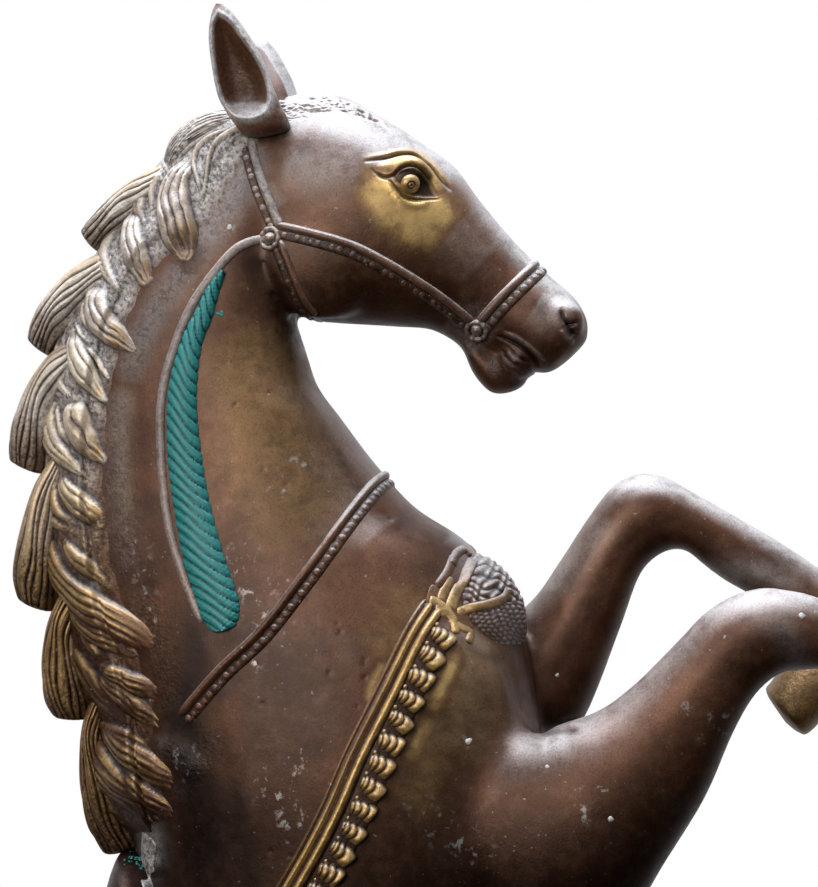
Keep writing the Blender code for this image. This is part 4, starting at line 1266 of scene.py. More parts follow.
    def eyes(self, flesh: Flesh) -> Form:
        """The two eyeballs with their ringed pupils."""
        form = Form()
        place, normal = flesh.lay(*self.eye_centre)
        up = Vector((0, 0, 1))
        across = up.cross(normal).normalized()
        up = normal.cross(across).normalized()
        rows = 28
        around = 48
        polar = np.linspace(0.02, math.pi / 2 + 0.4, rows)
        angle = np.linspace(0, math.tau, around, endpoint=False)
        radius = self.eye_radius
        rings = []
        rubs = []
        hollows = []
        for p in polar:
            reach = radius * math.sin(p)
            height = radius * 0.62 * math.cos(p) - 0.9
            groove = math.exp(-(((reach - 1.7) / 0.35) ** 2)) + math.exp(-((reach / 0.6) ** 2))
            height -= 0.5 * groove
            points = [
                np.array(place)
                + np.array(across) * (0.9 + reach * math.cos(a)) * MM
                + np.array(up) * reach * math.sin(a) * MM
                + np.array(normal) * height * MM
                for a in angle
            ]
            rings.append(points)
            rubs.append(np.full(around, 0.9 * (1 - groove * 0.9)))
            hollows.append(np.full(around, min(1.0, groove)))
        form.add_rings(np.array(rings), rub=np.array(rubs), hollow=np.array(hollows))
        return form.both_sides()


# What is worn, dusty or creased on the neck, chest and legs, and where shade and highlights are painted on
# them.
WEAR_AND_PAINTED_LIGHT = [
    Stroke([(14, 800), (24, 765), (36, 725), (50, 690)], 24, rub=0.24),
    Stroke([(20, 800), (32, 768), (48, 735)], 12, rub=0.16),
    Stroke([(24, 893), (14, 874), (4, 855), (-10, 838)], 9, dust=0.35, crust=0.6),
    Stroke([(2, 848), (-18, 824), (-36, 796), (-44, 770)], 7, dust=0.2, crust=0.7, hollow=0.1),
    Stroke([(-46, 772), (-50, 745), (-48, 705), (-42, 670)], 8, dust=0.1, crust=0.5, hollow=0.15),
    Stroke([(-40, 668), (-26, 632), (-20, 600)], 8, crust=0.6, hollow=0.3),
    Stroke([(-34, 548), (-31, 538), (-30, 524)], 6, dust=0.5, crust=0.7),
    Stroke([(-24, 586), (-17, 583), (-11, 577)], 6, -2.0, dust=0.12, crust=1.2, hollow=0.15, blunt=True),
    Stroke([(-30, 560), (-18, 566), (-6, 580), (0, 600)], 8, crust=0.5, hollow=0.55),
    Stroke([(17, 897), (21, 881), (25, 868), (30, 856)], 5, dust=0.1, crust=0.7),
    Stroke([(33, 848), (50, 842), (86, 828), (116, 808)], 3.6, crust=0.35, hollow=0.25),
    Stroke([(124, 806), (131, 797), (138, 788)], 9, crust=1.0, hollow=0.25, dust=0.15),
    Stroke([(141, 783), (148, 778), (156, 780)], 7, crust=0.9, hollow=0.3),
    # Paler muzzle: a painted highlight.
    Stroke([(164, 810), (172, 806), (180, 800)], 7, dust=0.2),
    Stroke([(33, 842), (40, 824), (48, 806)], 5, crust=0.5, hollow=0.3),
    Stroke([(124.5, 637), (119, 622), (111, 606)], 4, rub=0.45, dust=-0.5),
    Stroke([(122.5, 632), (118.5, 622), (113, 611)], 2.6, rub=1.3),
    Stroke([(111, 603), (105.5, 592), (100, 581)], 3.6, rub=0.4),
    Stroke([(107, 598), (102, 587)], 2.2, rub=0.8),
    # Lighter and warmer low on the chest: painted light.
    Stroke([(134, 645), (130, 615), (120, 585)], 15, rub=0.2, dust=0.06),
    Stroke([(87, 630), (81.5, 619), (80, 610)], 2, rub=0.6),
    # Darker on the lower neck: painted shade.
    Stroke([(8, 714), (38, 702), (66, 694)], 26, hollow=0.46),
    # Darker over the shoulder: painted shade.
    Stroke([(152, 578), (135, 552), (108, 535)], 28, hollow=0.12),
    # Darker under the tassel and down the neck under the mane: painted shade.
    Stroke([(-16, 668), (-10, 648), (-8, 625), (-13, 600), (-10, 577), (-6, 553), (-4, 530), (-4, 512)],
            14, hollow=0.95),
    # Darker below the tassel's end: painted shade.
    Stroke([(-12, 652), (0, 640), (14, 642), (26, 648)], 9, hollow=0.7),
    # Darker below the neck band: painted shade.
    Stroke([(-8, 612), (4, 616), (16, 626)], 9, hollow=0.6),
    # Darker under the mane at the withers: painted shade.
    Stroke([(6, 560), (14, 542), (18, 522)], 14, hollow=0.72, blunt=True),
    # Darker beside the mane: painted shade.
    Stroke([(-28, 718), (-27, 690), (-24, 664)], 11, hollow=0.35),
    # Darker beside the tassel: its painted shadow.
    Stroke([(2, 805), (-1, 775), (0, 745), (5, 715), (10, 690), (16, 665), (18, 648)], 10, hollow=0.3),
    # Darker at the throat under the jaw: painted shade.
    Stroke([(12, 838), (20, 830), (32, 818), (42, 804)], 9, hollow=0.6),
    # Darker below the cheek strap: painted shade.
    Stroke([(40, 839), (52, 835), (64, 830)], 7, hollow=0.45),
    # Lighter low on the chest: painted light.
    Stroke([(116, 596), (108, 574), (100, 554)], 11, rub=0.16),
    Stroke([(-44, 770), (-46, 740), (-42, 700)], 5, rub=0.14),
    # Lighter on the chest: painted light.
    Stroke([(102, 668), (94, 650), (86, 632)], 12, rub=0.16),
    # Darker and less pale below the neck band, dulling a reflection: painted shade.
    Stroke([(90, 704), (104, 690), (118, 676)], 16, hollow=0.42, dust=-0.6),
    Stroke([(-14, 845), (-10, 825)], 8, hollow=0.3, dust=-0.3),
    Stroke([(284, 652), (292, 634), (298, 612)], 8, dust=0.16),
    Stroke([(262, 664), (275, 656), (290, 648)], 8, dust=0.22),
    Stroke([(165, 660), (182, 680), (200, 702)], 6, dust=0.25),
    Stroke([(161, 598.5), (170, 597), (184, 597.5)], 1.6, 1.2, hollow=0.4),
    # Less pale on the front of the chest under the head: painted shade.
    Stroke([(88, 722), (104, 706), (122, 692)], 14, dust=-0.8),
    # Darker on the lower neck: painted shade.
    Stroke([(24, 735), (50, 700), (82, 692)], 24, hollow=0.22),
    # Darker by the neck band: painted shade.
    Stroke([(88, 706), (98, 694), (112, 684)], 10, hollow=0.3),
    # Darker on the chest: painted shade.
    Stroke([(20, 640), (45, 610), (60, 580)], 32, hollow=0.52),
    # Darker low on the chest: painted shade.
    Stroke([(20, 575), (36, 550), (48, 530)], 22, hollow=0.3),
    # Darker on the cheek.
    Stroke([(60, 858), (80, 852), (98, 846)], 14, hollow=0.18),
    # Darker down the edge of the chest, dulling a reflection: painted shade.
    Stroke([(154, 655), (156, 630), (158, 606)], 8, hollow=0.4),
    Stroke([(225, 655), (245, 668), (270, 672), (300, 668)], 9, dust=0.35),
    # Paler top of the near foreleg by the chest: a painted highlight.
    Stroke([(165, 590), (172, 591), (180, 593)], 5, dust=0.35),
    Stroke([(208, 720), (222, 725), (240, 720), (270, 704)], 6, dust=0.3),
    Stroke([(128, 640), (138, 634), (150, 633)], 3, hollow=0.5),
    Stroke([(160, 640), (161, 615), (160, 598)], 3, hollow=0.35),
]


@dataclass
class WearAndPaintedLight:
    """What years of handling, weather and casting flaws have left on the neck, chest and legs, with painted
    shade and painted highlights among them.
    """

    pits: int = 34
    seed: int = 5
    # Where the mesh is made finer: behind this x, nearer than this y, above this z.
    field_limits: tuple[float, float, float] = (190, -12, 500)
    # Where pale flakes cling, (x, z, x, z, how far to each side), as seen from the side.
    flaking: Rows = (
        (182, 569, 190, 552, 3.5), (193, 571, 200, 566, 3), (240, 601, 246, 596, 3.5),
        (126, 592, 133, 590, 3.2), (46, 590, 47, 578, 3), (39, 580, 46, 566, 6), (28, 724, 40, 712, 5),
        (38, 730, 52, 728, 5), (158, 557, 163, 553, 3), (8, 850, 10.5, 847.5, 1.8), (20, 631, 24, 626, 2.2),
        (-20, 585, -8, 572, 7), (60, 772, 68, 767, 3), (10, 690, 30, 640, 9), (22, 580, 52, 530, 8),
        (100, 560, 140, 530, 8), (228, 620, 262, 600, 7), (-40, 700, -30, 640, 5),
    )
    # Single drops of old limewash, (x, z, radius).
    drops: Rows = (
        (174, 625, 0.9), (200.5, 554, 1.2), (169, 579.5, 0.9), (294, 655.5, 1.4), (130, 591.5, 1.5),
        (9, 849, 1.3), (22, 629, 1.2),
    )
    # Where specks of the tassel's paint went astray, (x, z, scatter, how many).
    spills: Rows = ((5, 806, 2.6, 7), (-39, 530, 6.0, 30))

    def strokes(self) -> list[Stroke]:
        """Worn patches, dusty patches, painted shade and highlights, flakes, pits, and the crease where the
        foreleg leaves the chest.
        """
        strokes = list(WEAR_AND_PAINTED_LIGHT)
        for x, z, far_x, far_z, width in self.flaking:
            middle = ((x + far_x) / 2, (z + far_z) / 2 + 0.5)
            strokes.append(Stroke([(x, z), middle, (far_x, far_z)], width, fleck=1.0))
        chance = np.random.default_rng(self.seed)
        for _ in range(self.pits):
            x = 5 + 85 * chance.uniform()
            z = 520 + 280 * chance.uniform()
            size = chance.uniform(0.7, 1.2)
            strokes.append(Stroke([(x, z), (x + 1.5, z - 1)], size, 0.4 * size, hollow=0.35))
        return strokes

    def worn(self, middles: list[Vector]) -> list[bool]:
        """Which faces of the forehand are on the near side of neck and chest, where wear and painted shade
        are worked in.
        """
        front, side, low = self.field_limits
        places = [middle / MM for middle in middles]
        return [place.x < front and place.y < side and place.z > low for place in places]

    def dab(self, form: Form, flesh: Flesh, x: float, z: float, radius: float, turn: float) -> None:
        """Adds one flat dab, a little longer than it is wide."""
        place, normal = flesh.lay(x, z)
        across = Matrix.Rotation(turn, 3, normal) @ normal.orthogonal().normalized()
        steps = np.linspace(-1, 1, 7)
        line = np.array(place) + np.outer(steps, across) * radius * 1.2 * MM
        wide = radius * np.sqrt(1.08 - steps**2) * (1 + 0.2 * np.sin(steps * 3 + turn))
        sweep(form, line, np.tile(normal, (7, 1)), wide, wide * 0.45, 9, plain(0.0, 0.0, 1.2))

    def limewash(self, flesh: Flesh) -> Form:
        """The pale drops that stick to the brass."""
        form = Form()
        chance = np.random.default_rng(self.seed + 1)
        for x, z, radius in self.drops:
            self.dab(form, flesh, x, z, radius, chance.uniform(0, math.tau))
        return form

    def spilt_paint(self, flesh: Flesh) -> Form:
        """The specks of paint beside the tassel and on the pommel."""
        form = Form()
        chance = np.random.default_rng(self.seed + 2)
        for x, z, scatter, count in self.spills:
            for _ in range(count):
                shift = chance.normal(0, scatter / 2, 2)
                size = chance.uniform(0.3, 0.8)
                self.dab(form, flesh, x + shift[0], z + shift[1], size, chance.uniform(0, math.tau))
        return form


@dataclass
class Strap:
    """A moulded strap: a rounded bar, with a row of leaf-shaped beads beside it where it has one."""

    guides: list
    bar: float = 1.9
    height: float = 2.4
    bead: float = 0.0
    bead_side: float = 1.0
    rub: float | Sequence[float] = 0.0
    dust: float = 0.0
    crust: float = 0.25
    shade: float = 0.7
    soot_and_shade: float = 0.0
    ends: tuple[float, ...] = (0.2, 0.7, 0.93)

    def add_to(self, form: Form, flesh: Flesh) -> None:
        """Adds the strap of the near side, its bar first and then its beads."""
        inner = offset(self.guides, -self.bead_side * self.bead)
        places, normals, rows = flesh.path(inner, 10)
        full = np.ones(len(rows))
        for step, share in enumerate(self.ends):
            full[[step, -1 - step]] = share
        relief = plain(self.rub, self.soot_and_shade, self.dust, self.crust)
        sweep(form, places, normals, full * self.bar, full * self.height, 16, relief)
        if not self.bead:
            return
        outer = offset(self.guides, self.bead_side * (self.bar + self.bead * 0.2))
        places, normals, rows = flesh.path(outer, 10)
        lengths = lengths_along(places)
        count = round(lengths[-1] / (self.bead * 1.9))
        sweep(form, places, normals, full * self.bead * 1.2, full * 0.9, 12, plain(0, self.shade, 0, 0.8))
        for i in range(count):
            middle = (i + 0.5) * lengths[-1] / count
            leaf = middle + lengths[-1] / count * np.linspace(-0.52, 0.5, 9)
            at = [np.interp(leaf, lengths, places[:, axis]) for axis in range(3)]
            up = [np.interp(leaf, lengths, normals[:, axis]) for axis in range(3)]
            swell = self.bead * np.array([0.35, 0.72, 0.9, 0.97, 1.0, 0.99, 0.94, 0.8, 0.35])
            skew = 0.8 + 0.2 * math.sin(i * 2.4)
            relief = plain(self.rub, 0.1, self.dust, 0.5)
            sweep(form, np.stack(at, axis=1), np.stack(up, axis=1), swell, 0.72 * swell * skew, 12, relief)


@dataclass
class Trappings:
    """Bridle, rein, plaited tassel, neck band, breast band with its shells, and girth."""

    shell_count: int = 19
    shell_reach: float = 6.6
    shell_ribs: int = 4
    tassel_pitch: float = 6.4
    tassel_slant: float = 1.1

    def bridle(self, flesh: Flesh) -> Form:
        """The straps of the head with their rosettes, and the rein on the neck."""
        form = Form()
        Strap(HEADSTALL, 2.2, 1.7, 1.8, 1.0, dust=0.6, crust=0.6, shade=0.1).add_to(form, flesh)
        Strap(CHEEK_STRAP, 2.1, 2.2, 1.9, 1.0, dust=0.05).add_to(form, flesh)
        Strap(THROAT_LATCH, 1.8, 2.0, 1.7, 1.0).add_to(form, flesh)
        Strap(NOSEBAND, 2.2, 2.1, 2.3, 1.0, dust=0.1).add_to(form, flesh)
        Strap(REIN, 2.4, 1.5, rub=0.03, dust=0.35, crust=0.35).add_to(form, flesh)
        for x, z, radius in ((30, 843, 5.2), (134, 796.5, 5.0)):
            place, normal = flesh.lay(x, z)
            centre = np.array(place) / MM
            add_egg(form, centre, (radius * 0.62, radius * 0.9, radius * 0.62), 0.0, 20, rub=0.1, dust=0.3)
            across = np.array(normal.orthogonal().normalized())
            other = np.cross(np.array(normal), across)
            turns = np.linspace(0, math.tau * 1.02, 40)
            circle = np.outer(np.cos(turns), across) + np.outer(np.sin(turns), other)
            places = np.array(place) + circle * radius * 0.95 * MM + np.array(normal) * 0.6 * MM
            wide = 1.25 + 0.2 * np.sin(turns * 9)
            up = np.tile(normal, (len(turns), 1))
            sweep(form, places, up, wide, wide * 1.3, 12, plain(0.05, 0.0, 0.3))
        return form.both_sides()

    def tassel(self, flesh: Flesh) -> Form:
        """The plaited tassel: thick strands that slant down across it."""
        form = Form()
        places, normals, rows = flesh.path(BRAID, 20)
        lengths = lengths_along(places)
        width = np.maximum(rows[:, 2], 0.8)
        width[-6:] *= np.array([0.99, 0.97, 0.93, 0.85, 0.7, 0.45])
        width[:4] *= np.array([0.4, 0.7, 0.88, 0.97])

        def relief(t: Array, angle: Array) -> tuple[Array, Marks]:
            """Slanting strands, each worked over with finer threads, as uneven as brushed paint."""
            down = np.interp(t, np.linspace(0, 1, len(lengths)), lengths)
            across = np.cos(angle) * np.interp(t, np.linspace(0, 1, len(lengths)), width)
            bend = 0.8 * np.sin(down / 9.3) + 0.25 * np.sin(across / 2)
            phase = (down + self.tassel_slant * across + bend) / self.tassel_pitch
            share = phase - np.floor(phase)
            ridge = np.sqrt(np.clip(1 - (2 * share - 1) ** 2, 0, 1))
            thread = 0.5 + 0.5 * np.cos(math.tau * 2 * share)
            rough = np.sin(down * 2.1 + across * 1.3) * np.sin(across * 2.7 - down * 0.7)
            lit = np.clip(np.sin(angle), 0, 1) ** 0.5
            kept = 1 - (0.32 * (1 - ridge) + 0.06 * thread + 0.06 * rough) * (0.2 + 0.8 * lit)
            return kept, {"hollow": smoothstep(0.85, 0.2, ridge) + 0.25 * (1 - lit)}

        sweep(form, places, normals, width, np.full(len(rows), 3.8), 56, relief)
        return form.both_sides()

    def bands(self, flesh: Flesh) -> Form:
        """The neck band, the two gilt bars of the breast band, and the girth."""
        form = Form()
        Strap(NECK_BAND, 2.2, 2.4, 2.2, -1.0).add_to(form, flesh)
        worn = (0.9, 0.9, 0.8, 0.2, 0.15, 0.5, 0.8, 0.8, 0.8, 0.8, 0.8, 0.8)
        Strap(offset(BREAST_BAND, 2.6), 5.6, 1.0, dust=-0.3, soot_and_shade=0.8).add_to(form, flesh)
        for shift, bar, height, rub in ((0.0, 2.1, 3.0, 1.0), (5.2, 1.7, 2.6, worn), (8.6, 1.1, 1.3, 0.1)):
            Strap(offset(BREAST_BAND, shift), bar, height, rub=rub).add_to(form, flesh)
        Strap(GIRTH, 8.0, 3.0, dust=-0.4, soot_and_shade=0.3).add_to(form, flesh)
        return form.both_sides()

    def shells(self, flesh: Flesh) -> Form:
        """The row of ribbed cockle shells behind the breast band."""
        form = Form()
        Strap(offset(SHELL_ROW, 1.0), 6.2, 0.7, dust=-0.3, crust=0.8, soot_and_shade=0.75).add_to(form, flesh)
        places, _, rows = flesh.path(SHELL_ROW, 12)
        lengths = lengths_along(places)
        for i in range(self.shell_count):
            at = (i + 0.5) / self.shell_count * lengths[-1]
            spot = np.array([np.interp(at, lengths, rows[:, axis]) for axis in (0, 1)])
            slope = np.array([np.interp(at + 1, lengths, rows[:, axis]) for axis in (0, 1)]) - spot
            slope /= np.linalg.norm(slope)
            out = np.array([-slope[1], slope[0]])
            t = np.linspace(-1, 1, 41)
            swing = math.sin(i * 2.1)
            ribs = [spot + out * self.shell_reach * s + slope * ((0.7 + swing) * s + 0.8 * s * s) for s in t]
            laid = [flesh.lay(x, z) for x, z in ribs]
            normal = np.mean([n for _, n in laid], axis=0)
            normal /= np.linalg.norm(normal)
            path = np.array([p for p, _ in laid]) + normal * 0.8 * MM
            widths = np.interp(t, (-1, -0.75, -0.2, 0.3, 0.8, 0.94, 1), (2.2, 3.7, 4.3, 4.7, 5.0, 4.9, 3.8))
            grown = widths * (1 + 0.08 * math.sin(i * 1.3))

            def relief(share: Array, angle: Array, swing: float = swing) -> tuple[Array, Marks]:
                """Ribs that go round the shell, the last one the largest."""
                bow = 0.5 * np.cos(angle) ** 2 + 0.3 * swing
                phase = share**0.7 * self.shell_ribs + bow * np.sin(math.pi * share)
                rib = np.sqrt(np.clip(1 - (2 * (phase - np.floor(phase)) - 1) ** 2, 0, 1))
                kept = 0.7 + 0.3 * rib
                shade = 0.6 * smoothstep(0.5, -0.4, np.cos(angle) * 0.6 + np.sin(angle) * 0.8)
                hollow = np.maximum(smoothstep(0.8, 0.3, rib), shade)
                lit = 0.35 + 0.65 * smoothstep(-0.2, 0.8, np.sin(angle))
                rub = smoothstep(0.35, 0.9, rib) * (0.55 + 0.45 * share) * lit
                return kept, {"rub": rub, "hollow": hollow, "dust": share * 0, "crust": 0.3 + share * 0}

            sweep(form, path, np.tile(normal, (len(t), 1)), grown, grown * 0.85, 24, relief)
            bead = np.array(laid[4][0]) / MM - np.array((slope[0], 0, slope[1])) * 4.6
            add_egg(form, bead, (1.1, 1.1, 1.1), 0.0, 8, rub=0.7)
        return form.both_sides()


@dataclass
class BreastPlate:
    """The plate on the breast, where the bands meet: ropework above, scales below, and a knotted ribbon."""

    centre: tuple[float, float, float] = (135.5, 0, 657.5)
    radii: tuple[float, float, float] = (21.5, 38.5, 30)
    tilt: float = -28.0
    scale_pitch: float = 3.0
    rope_pitch: float = 4.6
    lift: float = 0.4
    # The ribbon between the two fields, falling from the knot to the edge, as z at x = 0 and its slope.
    divide: tuple[float, float] = (637.5, 0.155)

    def core(self) -> Form:
        """The dome of the plate without its relief, for the ribbons to lie on."""
        form = Form()
        add_egg(form, self.centre, [radius + self.lift for radius in self.radii], self.tilt, 60)
        return form

    def plate(self) -> Form:
        """The domed plate with its two fields."""
        form = Form()
        add_egg(form, self.centre, self.radii, self.tilt, 170)
        places = form.places[0]
        spots = as_seen(places)
        outward = places - np.array(self.centre) * MM
        outward /= np.linalg.norm(outward, axis=1)[:, None]
        x, z = spots[:, 0], spots[:, 1]
        row = z / (self.scale_pitch * 0.75)
        row += 0.3 * np.sin(x / 4.1) + 0.2 * np.sin(x / 1.9 + z / 3.3)
        along = x / self.scale_pitch + 0.5 * (np.floor(row) % 2) + 0.35 * np.sin(z / 2.7)
        scale = np.sin(math.pi * (along - np.floor(along))) * np.sin(math.pi * (row - np.floor(row))) ** 0.7
        bend = 1.6 * np.sin(x / 3.4 + z / 5.1) + 0.7 * np.sin(x / 1.7 - z / 2.9)
        wave = (x * 0.45 + z + bend) / self.rope_pitch
        rope = np.abs(np.sin(math.pi * wave)) ** 0.7 * (0.7 + 0.3 * np.sin(x * 1.3 - z * 0.6 + bend))
        above = z > self.divide[0] + self.divide[1] * x
        relief = np.where(above, rope, scale)
        form.places[0] = places + outward * ((relief - 0.7) * np.where(above, 1.4, 0.7))[:, None] * MM
        form.marks["hollow"][0] = smoothstep(0.6, 0.1, relief) * np.where(above, 0.8, 0.6)
        form.marks["dust"][0] = np.where(above, 0.1, 0.3)
        form.marks["rub"][0] = smoothstep(0.75, 1.0, relief) * 0.12
        form.marks["crust"][0] = np.full(len(x), 0.6)
        return form

    def knot(self, flesh: Flesh) -> Form:
        """The ribbons that cross where the breast band meets the plate."""
        form = Form()
        ribbons = (
            ([(109, 664), (117, 661), (124, 655), (127, 647)], 6.5, 0.4, 0.12),
            ([(113, 658.5), (117, 657), (121.5, 656.5)], 3.8, 0.9, 0.85),
            ([(110, 662), (114.5, 660.5), (119, 656.5), (122.5, 651.5), (123.5, 645)], 2.3, 1.1, 1.0),
            ([(122.5, 650.5), (127, 648), (131, 645.5), (129.5, 640.5)], 2.1, 1.0, (0.9, 0.8, 0.5, 0.3)),
            ([(132, 683), (128, 673), (123.5, 665), (120.5, 657.5)], 3.1, 1.1, (0.05, 0.15, 0.6, 0.9)),
            ([(121.5, 673), (118, 667.5), (115.5, 661.5)], 2.3, 0.9, (0.2, 0.6, 0.8)),
            ([(121.5, 679), (123.5, 684.5), (127.5, 687), (131, 683.5)], 2.4, 1.4, 0.0),
            ([(122.5, 684), (119.5, 676), (114, 668)], 2.4, 0.9, 0.0),
            (
                [(124, 655.5), (131, 658), (140, 660), (147.5, 663), (149.5, 667)],
                2.3,
                1.0,
                (0.9, 0.5, 0.2, 0.05),
            ),
        )
        for guides, width, height, rub in ribbons:
            Strap(guides, width, height, rub=rub, dust=-0.2, crust=0.3).add_to(form, flesh)
        return form.both_sides()


@dataclass
class Hindwork:
    """What lies behind and below: hooves, tail and saddle."""

    tail_strands: int = 6
    tail_twist: float = 1.1

    def hooves(self) -> Form:
        """The four hooves, rubbed bright."""
        form = Form()
        add_limb(form, NEAR_FORE_HOOF, Side.NEAR, rub=0.55, dust=-0.5, crust=0.3)
        add_limb(form, FAR_FORE_HOOF, Side.FAR, rub=0.38, dust=-0.5, crust=0.4)
        add_limb(form, HIND_HOOF, Side.NEAR, rub=0.5)
        add_limb(form, HIND_HOOF, Side.FAR, FAR_HIND_LEG_LEAD, rub=0.5)
        return form

    def saddle(self) -> Form:
        """The saddle, laid over the back."""
        form = Form()
        add_body(form, SADDLE, dust=-0.4, crust=0.3)
        return form

    def saddle_rim(self, flesh: Flesh) -> Form:
        """The broad dusty welt down the front of the saddle."""
        form = Form()
        guides = [(-32, 541), (-33, 533), (-32.5, 522), (-28, 508), (-17, 494)]
        Strap(guides, 6.6, 0.9, dust=0.75, crust=0.9).add_to(form, flesh)
        return form.both_sides()

    def tail(self) -> Form:
        """The tail: strands that wind slowly round a line from the dock down to the plinth."""
        form = Form()
        line = catmull_rom(TAIL, 12)
        run = np.gradient(line[:, :2], axis=0)
        run /= np.linalg.norm(run, axis=1)[:, None]
        across_tail = np.stack([run[:, 1], np.zeros(len(line)), -run[:, 0]], axis=1)
        for strand in range(self.tail_strands):
            angle = math.tau * strand / self.tail_strands + self.tail_twist * np.linspace(0, 1, len(line))
            outward = across_tail * np.cos(angle)[:, None] + np.array([0, 1, 0]) * np.sin(angle)[:, None]
            centre = np.stack([line[:, 0], np.zeros(len(line)), line[:, 1]], axis=1)
            places = (centre + outward * line[:, 2:3] * 0.5) * MM
            relief = strands(5, 1.5, 0.16, 80 + strand, 0.5, -0.1)
            sweep(form, places, outward, line[:, 2] * 0.4, line[:, 2] * 0.46, 56, relief)
        return form


def linear(colour: str) -> tuple[float, float, float, float]:
    """A colour written as sRGB hex, as the linear values that shaders take."""
    values = []
    for i in (1, 3, 5):
        value = int(colour[i : i + 2], 16) / 255
        values.append(value / 12.92 if value <= 0.04045 else ((value + 0.055) / 1.055) ** 2.4)
    return (*values, 1.0)


def add_node(
    owner: Material | bpy.types.World, kind: str, settings: dict | None = None, inputs: dict | None = None
) -> bpy.types.Node:
    """Adds a shader node.

    Args:
        owner: the material or the world that takes it.
        kind: the node's type.
        settings: properties to set.
        inputs: socket names or numbers, each with a value or with the output that feeds it.

    Returns:
        The new node.
    """
    node = owner.node_tree.nodes.new(kind)
    for name, value in (settings or {}).items():
        setattr(node, name, value)
    for name, value in (inputs or {}).items():
        if isinstance(value, Socket):
            owner.node_tree.links.new(value, node.inputs[name])
        else:
            node.inputs[name].default_value = value
    return node


def noise(material: Material, place: Socket, size: float, detail: float, rough: float = 0.62) -> Socket:
    """Noise whose lumps are about so many millimetres across."""
    inputs = {"Vector": place, "Scale": 1000 / size, "Detail": detail, "Roughness": rough}
    return add_node(material, "ShaderNodeTexNoise", inputs=inputs).outputs["Fac"]


def span(
    material: Material, value: Socket, low: float, high: float, at_low: float = 0.0, at_high: float = 1.0
) -> Socket:
    """A value eased from one level to another while it rises from low to high."""
    inputs = {"Value": value, "From Min": low, "From Max": high, "To Min": at_low, "To Max": at_high}
    return add_node(material, "ShaderNodeMapRange", {"interpolation_type": "SMOOTHSTEP"}, inputs).outputs[0]


def product(
    material: Material, value: Socket, factor: Socket | float, plus: Socket | None = None
) -> Socket:
    """A value times a factor; where something is added, the sum is kept between 0 and 1."""
    if plus is None:
        settings = {"operation": "MULTIPLY"}
        return add_node(material, "ShaderNodeMath", settings, {0: value, 1: factor}).outputs[0]
    settings = {"operation": "MULTIPLY_ADD", "use_clamp": True}
    return add_node(material, "ShaderNodeMath", settings, {0: value, 1: factor, 2: plus}).outputs[0]


def mark(material: Material, name: str) -> Socket:
    """A mark that the mesh carries, by its name."""
    return add_node(material, "ShaderNodeAttribute", {"attribute_name": name}).outputs["Fac"]


def relieve(
    material: Material, height: Socket, strength: Socket | float, reach: float, **over: Socket
) -> Socket:
    """Fine relief up to reach millimetres high, over other relief where Normal is given."""
    inputs = {"Height": height, "Strength": strength, "Distance": reach * MM, **over}
    return add_node(material, "ShaderNodeBump", inputs=inputs).outputs[0]


def blend(material: Material, share: Socket, below: Socket | str, above: Socket | str) -> Socket:
    """One colour laid over another by the given share, each from a node or written as hex."""
    inputs = {"Factor": share}
    for number, layer in ((6, below), (7, above)):
        inputs[number] = linear(layer) if isinstance(layer, str) else layer
    return add_node(material, "ShaderNodeMix", {"data_type": "RGBA"}, inputs).outputs[2]


def new_material(name: str) -> tuple[Material, bpy.types.Node]:
    """A material of this name, and its shader."""
    material = bpy.data.materials.new(name)
    material.use_nodes = True
    return material, material.node_tree.nodes["Principled BSDF"]


